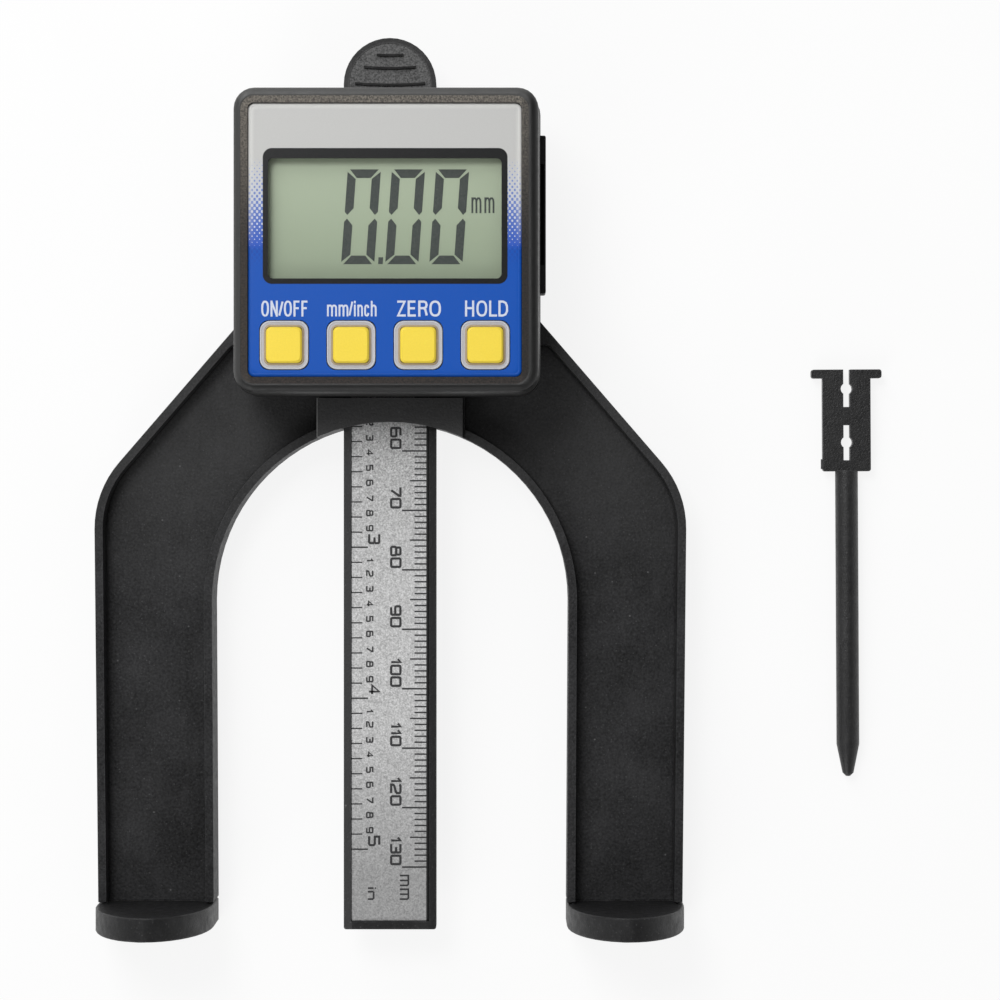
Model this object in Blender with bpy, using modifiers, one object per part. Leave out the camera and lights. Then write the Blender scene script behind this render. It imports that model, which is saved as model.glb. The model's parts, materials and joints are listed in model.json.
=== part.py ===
"""Digital height and depth gauge with an arch frame, lying on its back.

The display faces up (+Z) and the scale runs along +Y, away from the two
magnetic feet. The origin is the centre of the beam's measuring tip, which is
level with the soles of the feet. Every length is in metres.
"""
import math

import bmesh
import bpy
from mathutils import Matrix, Vector

# Fits between neighbouring pieces
CLEARANCE = 0.0003
GLUE_LINE = 0.0001
OVERRUN = 0.0010
WELD_DISTANCE = 0.00001

# Sliding beam with a half-round thumb tab
BEAM_WIDTH = 0.01555
BEAM_THICKNESS = 0.0036
BEAM_LENGTH = 0.1499
BEAM_TRAVEL = 0.0800
BEAM_EDGE = 0.0003
BEAM_CORNER = 0.0004
SCALE_BOARD_THICKNESS = 0.0005
LABEL_THICKNESS = 0.0003
LABEL_SINK = 0.0003
LABEL_SIDE = 0.001325
LABEL_START = 0.00146
LABEL_TOP_MARGIN = 0.0007
TAB_RIM = 0.0009
TAB_FIELD_DROP = 0.001025
TAB_FIELD_DEPTH = 0.0001
TAB_STEPS = 20
RIDGE_WIDTH = 0.0004
RIDGE_RISE = 0.0003
RIDGE_DROPS = (0.0079, 0.0051, 0.00295)
RIDGE_LENGTHS = (0.0118, 0.0087, 0.0045)
RIDGE_SAG_SHARE = 0.02
RIDGE_STEPS = 6

# Studs on the beam's back, which carry the depth rod
STUD_RADIUS = 0.0009
STUD_LENGTH = 0.0016
LOWER_STUD_HEIGHT = 0.0022
STUD_SPACING = 0.00915
STUD_CHAMFER = 0.0003

# Arch frame: two legs, a bridge and a neck that carries the head
FRAME_HALF_WIDTH = 0.0500
FRAME_TAPER = 0.0007
FRAME_BACK = 0.0088
FRAME_FRONT = 0.0001
FRAME_EDGE = 0.00025
LEG_WIDTH = 0.0199
SHOULDER_RADIUS = 0.0170
SHOULDER_ANGLE = math.radians(40.8)
ARCH_CROWN = 0.0853
ARCH_TAPER = 0.0003
RIM_WIDTH = 0.0014
WEB_THICKNESS = 0.0014
FRONT_POCKET_DEPTH = 0.0038
POCKET_RISE = 0.0092
POCKET_CORNER = 0.0015
SHOULDER_RISE = 0.0131
BRIDGE_WALL = 0.004175
BRIDGE_RISE = 0.0040
BRIDGE_BAR = 0.0018
BRIDGE_SINK = 0.0050
NECK_WALL = 0.005925
NECK_DROP = 0.0023
NECK_CORNER = 0.0015
NECK_FILLET = 0.0030
SEAT_STEP = 0.0004
SEAT_INSET = 0.0027
STUD_GROOVE_GAP = 0.0004

# Feet, their magnets and screws
FOOT_HEIGHT = 0.0040
FOOT_STEP = 0.00025
FOOT_FLANK = 0.0083
FOOT_NOSE = 0.0173
FOOT_EDGE = 0.0004
FOOT_STEPS = 20
MAGNET_RADIUS = 0.0030
MAGNET_THICKNESS = 0.0020
REAR_MAGNET_DEPTH = 0.0012
MAGNET_SPACING = 0.0084
FOOT_SCREW_DEPTH = 0.0065
FOOT_SCREW_RADIUS = 0.0009
FOOT_SCREW_HEAD_RADIUS = 0.0015
FOOT_SCREW_HEAD = 0.0010
FOOT_SCREW_LENGTH = 0.0095
FOOT_SCREW_SINK = 0.0005
FOOT_BOSS_RADIUS = 0.0020
FOOT_BOSS_LENGTH = 0.0110

# Leaf spring that steadies the beam in its channel
SPRING_LENGTH = 0.0150
SPRING_WIDTH = 0.0050
SPRING_THICKNESS = 0.00025
SPRING_DROP = 0.0014
SPRING_POCKET_DEPTH = 0.0016
SPRING_SCREW_RADIUS = 0.0007
SPRING_SCREW_HEAD_RADIUS = 0.0016
SPRING_SCREW_HEAD = 0.0004
SPRING_SCREW_LENGTH = 0.0030
SPRING_SCREW_INSET = 0.0024

# Display head: a rear case and a front case that meet at a parting line
HEAD_GAP = 0.0002
HEAD_HALF_WIDTH = 0.0252
HEAD_HALF_HEIGHT = 0.0249
HEAD_CORNER = 0.0034
HEAD_WALL = 0.0016
HEAD_DRAFT = 0.00035
HEAD_END_DRAFT = 0.00005
REAR_CASE_FLOOR = 0.0015
REAR_CASE_DEPTH = 0.0073
REAR_EDGE_ROUND = 0.0007
FRONT_CASE_DEPTH = 0.0100
FRONT_CASE_INSET = 0.0001
FRONT_EDGE_ROUND = 0.00105
FRONT_SLOPE_WIDTH = 0.00115
FRONT_SLOPE_DROP = 0.0004
FRONT_SLOPE_STEP = 0.0004
FACE_PLATE = 0.0015
LIP_LENGTH = 0.0010
LIP_WIDTH = 0.0007

# Printed face sheet and display
SHEET_SIDE = 0.0031
SHEET_END = 0.0028
SHEET_CORNER = 0.0010
SHEET_THICKNESS = 0.0003
SHEET_BORDER = 0.0008
SHEET_BORDER_DROP = 0.0001
SHEET_SHIFT = -0.0002
SHEET_GAP = 0.00015
WINDOW_SIDE = 0.00315
WINDOW_DROP = 0.00885
LEGEND_BAND = 0.00692
WINDOW_CORNER = 0.0008
LENS_BORDER = 0.0011
LENS_THICKNESS = 0.0013
LCD_BORDER = 0.0013
LCD_THICKNESS = 0.0020
LCD_HOLDER_WALL = 0.0009
ZEBRA_WIDTH = 0.0010
ZEBRA_HEIGHT = 0.0010

# Push keys in their collars
KEY_INSET = 0.000975
KEY_CORNER = 0.0008
KEY_EDGE = 0.0003
KEY_RISE = 0.0008
KEY_ROW_SIDE = 0.00188
KEY_ROW_MARGIN = 0.00113
KEY_GAP = 0.00025
KEY_PLACE_SHARES = (-1.5, -0.5, 0.5, 1.5)
KEY_STEM = 0.0030
KEY_FLANGE = 0.0006
KEY_FLANGE_THICKNESS = 0.0008
KEY_TRAVEL = 0.0004
COLLAR_SPACE = 0.00308
COLLAR_CORNER = 0.0016
COLLAR_RISE = 0.0001
MAT_THICKNESS = 0.0011
MAT_MARGIN = 0.0008
MAT_PEG_RADIUS = 0.0009
DOME_RADIUS = 0.0022
DOME_HEIGHT = 0.0003

# Circuit boards and the pins between them
BOARD_THICKNESS = 0.0010
BOARD_CORNER = 0.0010
SENSOR_BOARD_THICKNESS = 0.0008
SENSOR_BOARD_SIDE = 0.001025
SENSOR_BOARD_END = 0.0069
SENSOR_LEDGE = 0.0013
SENSOR_LEDGE_THICKNESS = 0.0007
PIN_COUNT = 6
PIN_RADIUS = 0.0003
PIN_PITCH = 0.00254
PIN_ROW_INSET = 0.0023
CHIP_RADIUS = 0.0045
CHIP_HEIGHT = 0.0012

# Screws that clamp the neck, both cases and the main board
CASE_SCREW_RADIUS = 0.0009
CASE_SCREW_HEAD_RADIUS = 0.0017
CASE_SCREW_HEAD = 0.0012
CASE_SCREW_BITE = 0.0012
CASE_SCREW_SEAT = 0.0052
CASE_POST_RADIUS = 0.0019
LOWER_SCREW_INSET = 0.0067
UPPER_SCREW_INSET = 0.0028
UPPER_SCREW_DROP = 0.0053

# Battery drawer, its cell and contacts
CELL_RADIUS = 0.0100
CELL_THICKNESS = 0.0032
CELL_STEP = 0.0004
CELL_INSET = 0.0024
DRAWER_POST_GAP = 0.0014
DRAWER_WALL = 0.0009
DRAWER_FLOOR = 0.0006
DRAWER_BASE = 0.0006
DRAWER_RIM_DROP = 0.0003
DRAWER_FRONT_SIDE = 0.0019
DRAWER_FRONT_THICKNESS = 0.0012
DRAWER_FRONT_SINK = 0.0003
DRAWER_FRONT_MARGIN = 0.0005
DRAWER_FRONT_CORNER = 0.0008
DRAWER_GRIP_LENGTH = 0.0167
DRAWER_GRIP_DEPTH = 0.0030
DRAWER_GRIP_LIP = 0.0004
DRAWER_SLOT_SIDE = 0.0010
DRAWER_RAIL_WIDTH = 0.0010
CONTACT_WIDTH = 0.0040
CONTACT_THICKNESS = 0.00025
CONTACT_FOOT = 0.0024
CONTACT_REACH = 0.0040
CONTACT_ARM = 0.0100

# Depth rod that lies beside the gauge
ROD_APART = 0.02805
ROD_TIP_HEIGHT = 0.0250
ROD_LEAN = math.radians(0.3)
ROD_DIAMETER = 0.0039
ROD_LENGTH = 0.0695
ROD_TAPER_LENGTH = 0.0055
ROD_TIP_DIAMETER = 0.0019
ROD_TIP_ROUND = 0.0006
ROD_PLATE_WIDTH = 0.0082
ROD_PLATE_LENGTH = 0.0174
ROD_PLATE_THICKNESS = 0.0016
ROD_PLATE_CORNER = 0.0004
ROD_GATE_LENGTH = 0.0017
ROD_GATE_RISE = 0.0003
ROD_BAR_LENGTH = 0.0120
ROD_BAR_WIDTH = 0.0015
ROD_SLOT_WIDTH = 0.0011
ROD_UPPER_HOLE = 0.0033
ROD_UPPER_SLOT_END = 0.0064
ROD_LOWER_SLOT_START = 0.0095
ROD_LOWER_SLOT_END = 0.0155

# Smoothness of round forms
CHORD_ERROR = 0.00002
HEAD_CORNER_STEPS = 6
FRONT_EDGE_STEPS = 3
KEY_CORNER_STEPS = 3
ARCH_STEPS = 40
ROUND_SIDES = 24
SMALL_ROUND_SIDES = 16
PIN_SIDES = 8
SHARP_ANGLE = math.radians(30)

# Places worked out from the driving sizes
BEAM_HALF_WIDTH = BEAM_WIDTH / 2
BEAM_FACE = BEAM_THICKNESS / 2
TAB_CENTRE = BEAM_LENGTH - BEAM_HALF_WIDTH
TAB_FIELD_START = TAB_CENTRE - TAB_FIELD_DROP
LABEL_END = TAB_FIELD_START - LABEL_TOP_MARGIN
LABEL_HALF_WIDTH = BEAM_HALF_WIDTH - LABEL_SIDE
LABEL_FACE = BEAM_FACE - LABEL_SINK
LABEL_BACK = LABEL_FACE - LABEL_THICKNESS
SCALE_BOARD_FACE = LABEL_BACK - GLUE_LINE
SCALE_BOARD_BACK = SCALE_BOARD_FACE - SCALE_BOARD_THICKNESS
CHANNEL_HALF_WIDTH = BEAM_HALF_WIDTH + CLEARANCE
CHANNEL_FACE = BEAM_FACE + CLEARANCE
CHANNEL_START = ARCH_CROWN - BRIDGE_SINK
STUD_GROOVE_HALF_WIDTH = STUD_RADIUS + STUD_GROOVE_GAP
STUD_GROOVE_END = LOWER_STUD_HEIGHT + STUD_SPACING + BEAM_TRAVEL + STUD_RADIUS + CLEARANCE
BRIDGE_HALF_WIDTH = CHANNEL_HALF_WIDTH + BRIDGE_WALL
BRIDGE_TOP = ARCH_CROWN + BRIDGE_RISE
POCKET_TOP = BRIDGE_TOP + POCKET_RISE
HEAD_CENTRE = BRIDGE_TOP + HEAD_GAP + HEAD_HALF_HEIGHT
NECK_HALF_WIDTH = CHANNEL_HALF_WIDTH + NECK_WALL
NECK_TOP = HEAD_CENTRE + HEAD_HALF_HEIGHT - NECK_DROP
SHOULDER_RUN = FRAME_HALF_WIDTH - HEAD_HALF_WIDTH
SHOULDER_HEIGHT = BRIDGE_TOP + SHOULDER_RISE - SHOULDER_RUN / math.tan(SHOULDER_ANGLE)
ARCH_RADIUS = FRAME_HALF_WIDTH - LEG_WIDTH
LEG_END = FOOT_HEIGHT + CLEARANCE
LEG_OUTSIDE = FRAME_HALF_WIDTH - FRAME_TAPER
LEG_INSIDE = ARCH_RADIUS - ARCH_TAPER
FOOT_OUTSIDE = LEG_OUTSIDE + FOOT_STEP
FOOT_CENTRE = (FOOT_OUTSIDE + LEG_INSIDE) / 2
ARCH_SPRING = ARCH_CROWN - ARCH_RADIUS
REAR_POCKET_DEPTH = FRAME_BACK + FRAME_FRONT - FRONT_POCKET_DEPTH - WEB_THICKNESS
SEAT_FACE = BEAM_FACE + GLUE_LINE
SEAT_BOTTOM = POCKET_TOP + RIM_WIDTH
SEAT_HALF_WIDTH = HEAD_HALF_WIDTH - SEAT_INSET
SPRING_START = HEAD_CENTRE - SPRING_DROP
SPRING_POCKET_FLOOR = -CHANNEL_FACE - SPRING_POCKET_DEPTH
SCREW_HOLE_RADIUS = CASE_SCREW_RADIUS + CLEARANCE
SCREW_SHOULDER = CASE_SCREW_SEAT - FRAME_BACK
HEAD_BACK = SEAT_FACE + CLEARANCE
REAR_FLOOR_TOP = HEAD_BACK + REAR_CASE_FLOOR
PARTING = HEAD_BACK + REAR_CASE_DEPTH
FRONT_START = PARTING + CLEARANCE
FRONT_TOP = FRONT_START + FRONT_CASE_DEPTH
SHEET_FACE = FRONT_TOP - FRONT_SLOPE_DROP - FRONT_SLOPE_STEP
PLATE_FACE = SHEET_FACE - SHEET_THICKNESS - GLUE_LINE
PLATE_BACK = PLATE_FACE - FACE_PLATE
LENS_BACK = PLATE_FACE - LENS_THICKNESS
LCD_FACE = LENS_BACK - CLEARANCE
SENSOR_BOARD_BACK = HEAD_BACK + SENSOR_LEDGE_THICKNESS + CLEARANCE
SENSOR_BOARD_FACE = SENSOR_BOARD_BACK + SENSOR_BOARD_THICKNESS
DRAWER_BOTTOM = REAR_FLOOR_TOP + DRAWER_BASE
CELL_BOTTOM = DRAWER_BOTTOM + DRAWER_FLOOR + CLEARANCE
CELL_TOP = CELL_BOTTOM + CELL_THICKNESS
BOARD_FACE = LCD_FACE - LCD_THICKNESS - CLEARANCE - ZEBRA_HEIGHT - CLEARANCE
BOARD_BACK = BOARD_FACE - BOARD_THICKNESS
CASE_SCREW_LENGTH = BOARD_FACE + CASE_SCREW_BITE - SCREW_SHOULDER + CLEARANCE
MAT_FACE = PLATE_BACK - CLEARANCE
MAT_BACK = MAT_FACE - MAT_THICKNESS
FRONT_HALF_WIDTH = HEAD_HALF_WIDTH - FRONT_CASE_INSET
FRONT_HALF_HEIGHT = HEAD_HALF_HEIGHT - FRONT_CASE_INSET
FRONT_INNER_HALF_WIDTH = FRONT_HALF_WIDTH - HEAD_DRAFT - HEAD_WALL
FRONT_INNER_HALF_HEIGHT = FRONT_HALF_HEIGHT - HEAD_DRAFT - HEAD_WALL
SHEET_HALF_WIDTH = HEAD_HALF_WIDTH - SHEET_SIDE
SHEET_HALF_HEIGHT = HEAD_HALF_HEIGHT - SHEET_END
KEY_ROW_WIDTH = (SHEET_HALF_WIDTH - KEY_ROW_SIDE) * 2
KEY_PITCH = (KEY_ROW_WIDTH + COLLAR_SPACE) / len(KEY_PLACE_SHARES)
COLLAR_SIZE = KEY_PITCH - COLLAR_SPACE
KEY_SIZE = COLLAR_SIZE - KEY_INSET * 2
KEY_OFFSETS = [SHEET_SHIFT + KEY_PITCH * share for share in KEY_PLACE_SHARES]
KEY_ROW_HEIGHT = HEAD_CENTRE - SHEET_HALF_HEIGHT + KEY_ROW_MARGIN + COLLAR_SIZE / 2
COLLAR_TOP = KEY_ROW_HEIGHT + COLLAR_SIZE / 2
WINDOW_START = COLLAR_TOP + LEGEND_BAND
WINDOW_HEIGHT = HEAD_CENTRE + SHEET_HALF_HEIGHT - WINDOW_DROP - WINDOW_START
WINDOW_CENTRE = WINDOW_START + WINDOW_HEIGHT / 2
WINDOW_WIDTH = (SHEET_HALF_WIDTH - WINDOW_SIDE) * 2
LCD_HOLDER_START = WINDOW_START - LCD_BORDER - CLEARANCE - LCD_HOLDER_WALL
LOWER_SCREW_PLACE = (HEAD_HALF_WIDTH - LOWER_SCREW_INSET, (COLLAR_TOP + LCD_HOLDER_START) / 2)
UPPER_SCREW_HEIGHT = HEAD_CENTRE + HEAD_HALF_HEIGHT - UPPER_SCREW_DROP
UPPER_SCREW_PLACE = (NECK_HALF_WIDTH - UPPER_SCREW_INSET, UPPER_SCREW_HEIGHT)
SCREW_PLACES = [(side * x, y) for side in (-1, 1) for x, y in (LOWER_SCREW_PLACE, UPPER_SCREW_PLACE)]
SENSOR_BOARD_HALF_WIDTH = BEAM_HALF_WIDTH + SENSOR_BOARD_SIDE
SENSOR_BOARD_HALF_LENGTH = HEAD_HALF_HEIGHT - SENSOR_BOARD_END
CELL_REACH = HEAD_HALF_WIDTH - CELL_RADIUS - CELL_INSET
DRAWER_HALF_LENGTH = CELL_RADIUS + CLEARANCE + DRAWER_WALL
DRAWER_CENTRE = UPPER_SCREW_HEIGHT - CASE_POST_RADIUS - DRAWER_POST_GAP - DRAWER_HALF_LENGTH
DRAWER_FRONT_HALF_LENGTH = DRAWER_HALF_LENGTH + DRAWER_FRONT_SIDE
ROD_PLACE_X = FRAME_HALF_WIDTH + ROD_APART

# Directions in which a flat outline is drawn and thickened
FLAT = Matrix.Identity(4)
UPRIGHT = Matrix.Rotation(math.radians(90), 4, 'X')
SIDEWAYS = Matrix(((0, 0, 1, 0), (1, 0, 0, 0), (0, 1, 0, 0), (0, 0, 0, 1)))


def collection(name):
    group = bpy.data.collections.new(name)
    bpy.context.scene.collection.children.link(group)
    return group


def material(name, colour, roughness, metallic=0.0, transmission=0.0):
    """A Principled material with the part's own colour and finish."""
    finish = bpy.data.materials.new(name)
    finish.use_nodes = True
    shader = finish.node_tree.nodes['Principled BSDF']
    shader.inputs['Base Color'].default_value = (*colour, 1)
    shader.inputs['Roughness'].default_value = roughness
    shader.inputs['Metallic'].default_value = metallic
    shader.inputs['Transmission Weight'].default_value = transmission
    finish.diffuse_color = (*colour, 1)
    return finish


def body(name, shape, finish=None, parent=None):
    """Make an object from a bmesh, as a part or, without a finish, as a cutter."""
    mesh = bpy.data.meshes.new(name)
    bmesh.ops.recalc_face_normals(shape, faces=shape.faces)
    shape.to_mesh(mesh)
    shape.free()
    mesh.shade_smooth()
    mesh.set_sharp_from_angle(angle=SHARP_ANGLE)
    made = bpy.data.objects.new(name, mesh)
    if finish:
        mesh.materials.append(finish)
        PARTS.objects.link(made)
    else:
        CUTTERS.objects.link(made)
        made.hide_render = True
        made.display_type = 'WIRE'
    if parent:
        made.parent = parent
    return made


def pivot(name, place, lean=0.0):
    """An empty on a joint's axis, which the moving pieces are parented to."""
    marker = bpy.data.objects.new(name, None)
    marker.location = place
    marker.rotation_euler = (0, 0, lean)
    PARTS.objects.link(marker)
    return marker


def arc(centre, radius, start, end, steps):
    """Points along an arc from one angle to another, both ends included."""
    points = []
    for step in range(steps + 1):
        angle = start + (end - start) * step / steps
        points.append((centre[0] + radius * math.cos(angle), centre[1] + radius * math.sin(angle)))
    return points


def corner_steps(turn, radius):
    """Number of chords that keep a rounded corner true to its arc."""
    chord = 2 * math.acos(max(0, 1 - CHORD_ERROR / radius))
    return max(2, math.ceil(abs(turn) / chord))


def rounded(corners, steps=None):
    """Outline points of a polygon with corners given as x, y and radius."""
    points = []
    for index, (x, y, radius) in enumerate(corners):
        if radius <= 0:
            points.append((x, y))
            continue
        here = Vector((x, y))
        before = (Vector(corners[index - 1][:2]) - here).normalized()
        after = (Vector(corners[(index + 1) % len(corners)][:2]) - here).normalized()
        half = before.angle(after) / 2
        centre = here + (before + after).normalized() * radius / math.sin(half)
        first = here + before * radius / math.tan(half) - centre
        last = here + after * radius / math.tan(half) - centre
        start = math.atan2(first.y, first.x)
        turn = (math.atan2(last.y, last.x) - start + math.pi) % math.tau - math.pi
        points += arc(centre, radius, start, start + turn, steps or corner_steps(turn, radius))
    return points


def rectangle(half_x, half_y, radius=0.0, centre=(0, 0), steps=None):
    """Outline of a rectangle with rounded corners."""
    x, y = centre
    signs = ((-1, -1), (1, -1), (1, 1), (-1, 1))
    return rounded([(x + side * half_x, y + end * half_y, radius) for side, end in signs], steps)


def circle(radius, centre=(0, 0), sides=ROUND_SIDES):
    """Outline of a circle as a regular polygon."""
    return arc(centre, radius, 0, math.tau * (sides - 1) / sides, sides - 1)


def mirrored(corners):
    """Right-hand corners followed by their mirror images in reverse order."""
    return corners + [(-corner[0], *corner[1:]) for corner in reversed(corners)]


def plate(name, outlines, low, high, finish=None, turn=FLAT, parent=None):
    """A slab between two heights, from an outline and any holes inside it."""
    curve = bpy.data.curves.new(name, 'CURVE')
    curve.dimensions = '2D'
    curve.fill_mode = 'BOTH'
    curve.extrude = (high - low) / 2
    for points in outlines:
        spline = curve.splines.new('POLY')
        spline.points.add(len(points) - 1)
        for spot, (x, y) in zip(spline.points, points):
            spot.co = (x, y, 0, 1)
        spline.use_cyclic_u = True
    outline = bpy.data.objects.new(name, curve)
    CUTTERS.objects.link(outline)
    bpy.context.view_layer.update()
    mesh = bpy.data.meshes.new_from_object(outline.evaluated_get(bpy.context.evaluated_depsgraph_get()))
    bpy.data.objects.remove(outline)
    bpy.data.curves.remove(curve)
    shape = bmesh.new()
    shape.from_mesh(mesh)
    bpy.data.meshes.remove(mesh)
    bmesh.ops.remove_doubles(shape, verts=shape.verts, dist=WELD_DISTANCE)
    bmesh.ops.translate(shape, verts=shape.verts, vec=(0, 0, (high + low) / 2))
    bmesh.ops.transform(shape, matrix=turn, verts=shape.verts)
    return body(name, shape, finish, parent)


def box(name, low, high, finish=None, parent=None):
    """A block between its lowest and highest corners."""
    shape = bmesh.new()
    bmesh.ops.create_cube(shape, size=1)
    low = Vector(low)
    high = Vector(high)
    bmesh.ops.scale(shape, vec=high - low, verts=shape.verts)
    bmesh.ops.translate(shape, vec=(low + high) / 2, verts=shape.verts)
    return body(name, shape, finish, parent)


def add_round(shape, radius, start, end, sides, end_radius=None):
    """Add a cylinder, or a cone, between two points to a bmesh."""
    start = Vector(start)
    span = Vector(end) - start
    turn = Vector((0, 0, 1)).rotation_difference(span).to_matrix().to_4x4()
    place = Matrix.Translation(start + span / 2) @ turn
    top = radius if end_radius is None else end_radius
    bmesh.ops.create_cone(
        shape, cap_ends=True, segments=sides, radius1=radius, radius2=top,
        depth=span.length, matrix=place)


def rod(name, radius, start, end, sides, finish=None, parent=None, end_radius=None):
    """A round bar between two points."""
    shape = bmesh.new()
    add_round(shape, radius, start, end, sides, end_radius)
    return body(name, shape, finish, parent)


def loft(name, rings, finish=None, parent=None):
    """A closed body through rings of as many points, capped at both ends."""
    shape = bmesh.new()
    levels = [[shape.verts.new((x, y, height)) for x, y in points] for points, height in rings]
    for lower, upper in zip(levels, levels[1:]):
        for index in range(len(lower)):
            follow = (index + 1) % len(lower)
            shape.faces.new((lower[index], lower[follow], upper[follow], upper[index]))
    shape.faces.new(list(reversed(levels[0])))
    shape.faces.new(levels[-1])
    return body(name, shape, finish, parent)


def boolean(target, tool, operation):
    step = target.modifiers.new(tool.name, 'BOOLEAN')
    step.operation = operation
    step.solver = 'EXACT'
    step.object = tool


def cut(target, tool):
    boolean(target, tool, 'DIFFERENCE')


def join(target, tool):
    boolean(target, tool, 'UNION')


def soften(target, width):
    """Round a piece's sharp edges with a narrow bevel."""
    bevel = target.modifiers.new('edge', 'BEVEL')
    bevel.width = width
    bevel.segments = 1
    bevel.limit_method = 'ANGLE'
    bevel.angle_limit = SHARP_ANGLE


def add_turned(shape, profile, place, turn, sides):
    """Add a solid of revolution from (radius, height) pairs to a bmesh."""
    single = bmesh.new()
    spots = [single.verts.new((radius, 0, height)) for radius, height in profile]
    edges = [single.edges.new(pair) for pair in zip(spots, spots[1:])]
    bmesh.ops.spin(
        single, geom=spots + edges, axis=(0, 0, 1), cent=(0, 0, 0), steps=sides,
        angle=math.tau, use_merge=True)
    bmesh.ops.remove_doubles(single, verts=single.verts, dist=WELD_DISTANCE)
    bmesh.ops.transform(single, matrix=Matrix.Translation(place) @ turn, verts=single.verts)
    bmesh.ops.recalc_face_normals(single, faces=single.faces)
    copy = bpy.data.meshes.new('turned')
    single.to_mesh(copy)
    single.free()
    shape.from_mesh(copy)
    bpy.data.meshes.remove(copy)


def screw_profile(radius, head_radius, head, length):
    """A pan-head screw, from the top of its head to the end of its shank."""
    end = head + length
    return [(0, 0), (head_radius, 0), (head_radius, head), (radius, head), (radius, end), (0, end)]


def shoulder_half_width(height, inset=0.0):
    """Half-width of the sloping shoulder at a height, inset square to the slope."""
    run = (height - SHOULDER_HEIGHT) * math.tan(SHOULDER_ANGLE)
    return FRAME_HALF_WIDTH - run - inset / math.cos(SHOULDER_ANGLE)


def shoulder_height(half_width, inset=0.0):
    """Height at which the sloping shoulder has a half-width."""
    run = FRAME_HALF_WIDTH - half_width - inset / math.cos(SHOULDER_ANGLE)
    return SHOULDER_HEIGHT + run / math.tan(SHOULDER_ANGLE)


def frame_outline():
    return rounded(mirrored([
        (LEG_OUTSIDE, LEG_END, 0),
        (FRAME_HALF_WIDTH, SHOULDER_HEIGHT, SHOULDER_RADIUS),
        (NECK_HALF_WIDTH, shoulder_height(NECK_HALF_WIDTH), NECK_FILLET),
        (NECK_HALF_WIDTH, NECK_TOP, NECK_CORNER),
    ]))


def arch_outline():
    """The opening between the legs, with its half-round crown."""
    below = LEG_END - OVERRUN
    crown = arc((0, ARCH_SPRING), ARCH_RADIUS, 0, math.pi, ARCH_STEPS)
    return [(LEG_INSIDE, below)] + crown + [(-LEG_INSIDE, below)]


def pocket_outline(side):
    """The hollow between one leg's inner and outer rims, open at the foot."""
    below = LEG_END - OVERRUN
    inner = ARCH_RADIUS + RIM_WIDTH
    wall = BRIDGE_HALF_WIDTH + FRAME_EDGE
    shoulder = FRAME_HALF_WIDTH - RIM_WIDTH
    crown = arc((0, ARCH_SPRING), inner, 0, math.acos(wall / inner), ARCH_STEPS // 2)
    corners = [(LEG_INSIDE + RIM_WIDTH, below, 0)]
    corners += [(x, y, 0) for x, y in crown]
    corners += [
        (wall, POCKET_TOP, POCKET_CORNER),
        (shoulder_half_width(POCKET_TOP, RIM_WIDTH), POCKET_TOP, POCKET_CORNER),
        (shoulder, shoulder_height(shoulder, RIM_WIDTH), SHOULDER_RADIUS - RIM_WIDTH),
        (LEG_OUTSIDE - RIM_WIDTH, below, 0),
    ]
    return [(side * x, y) for x, y in rounded(corners)]


def seat_outline():
    """The raised seat behind the head, a small step inside the frame's edge."""
    side = NECK_HALF_WIDTH - SEAT_STEP
    return rounded(mirrored([
        (SEAT_HALF_WIDTH, SEAT_BOTTOM, 0),
        (SEAT_HALF_WIDTH, shoulder_height(SEAT_HALF_WIDTH, SEAT_STEP), 0),
        (side, shoulder_height(side, SEAT_STEP), NECK_FILLET),
        (side, NECK_TOP - SEAT_STEP, NECK_CORNER),
    ]))


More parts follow.
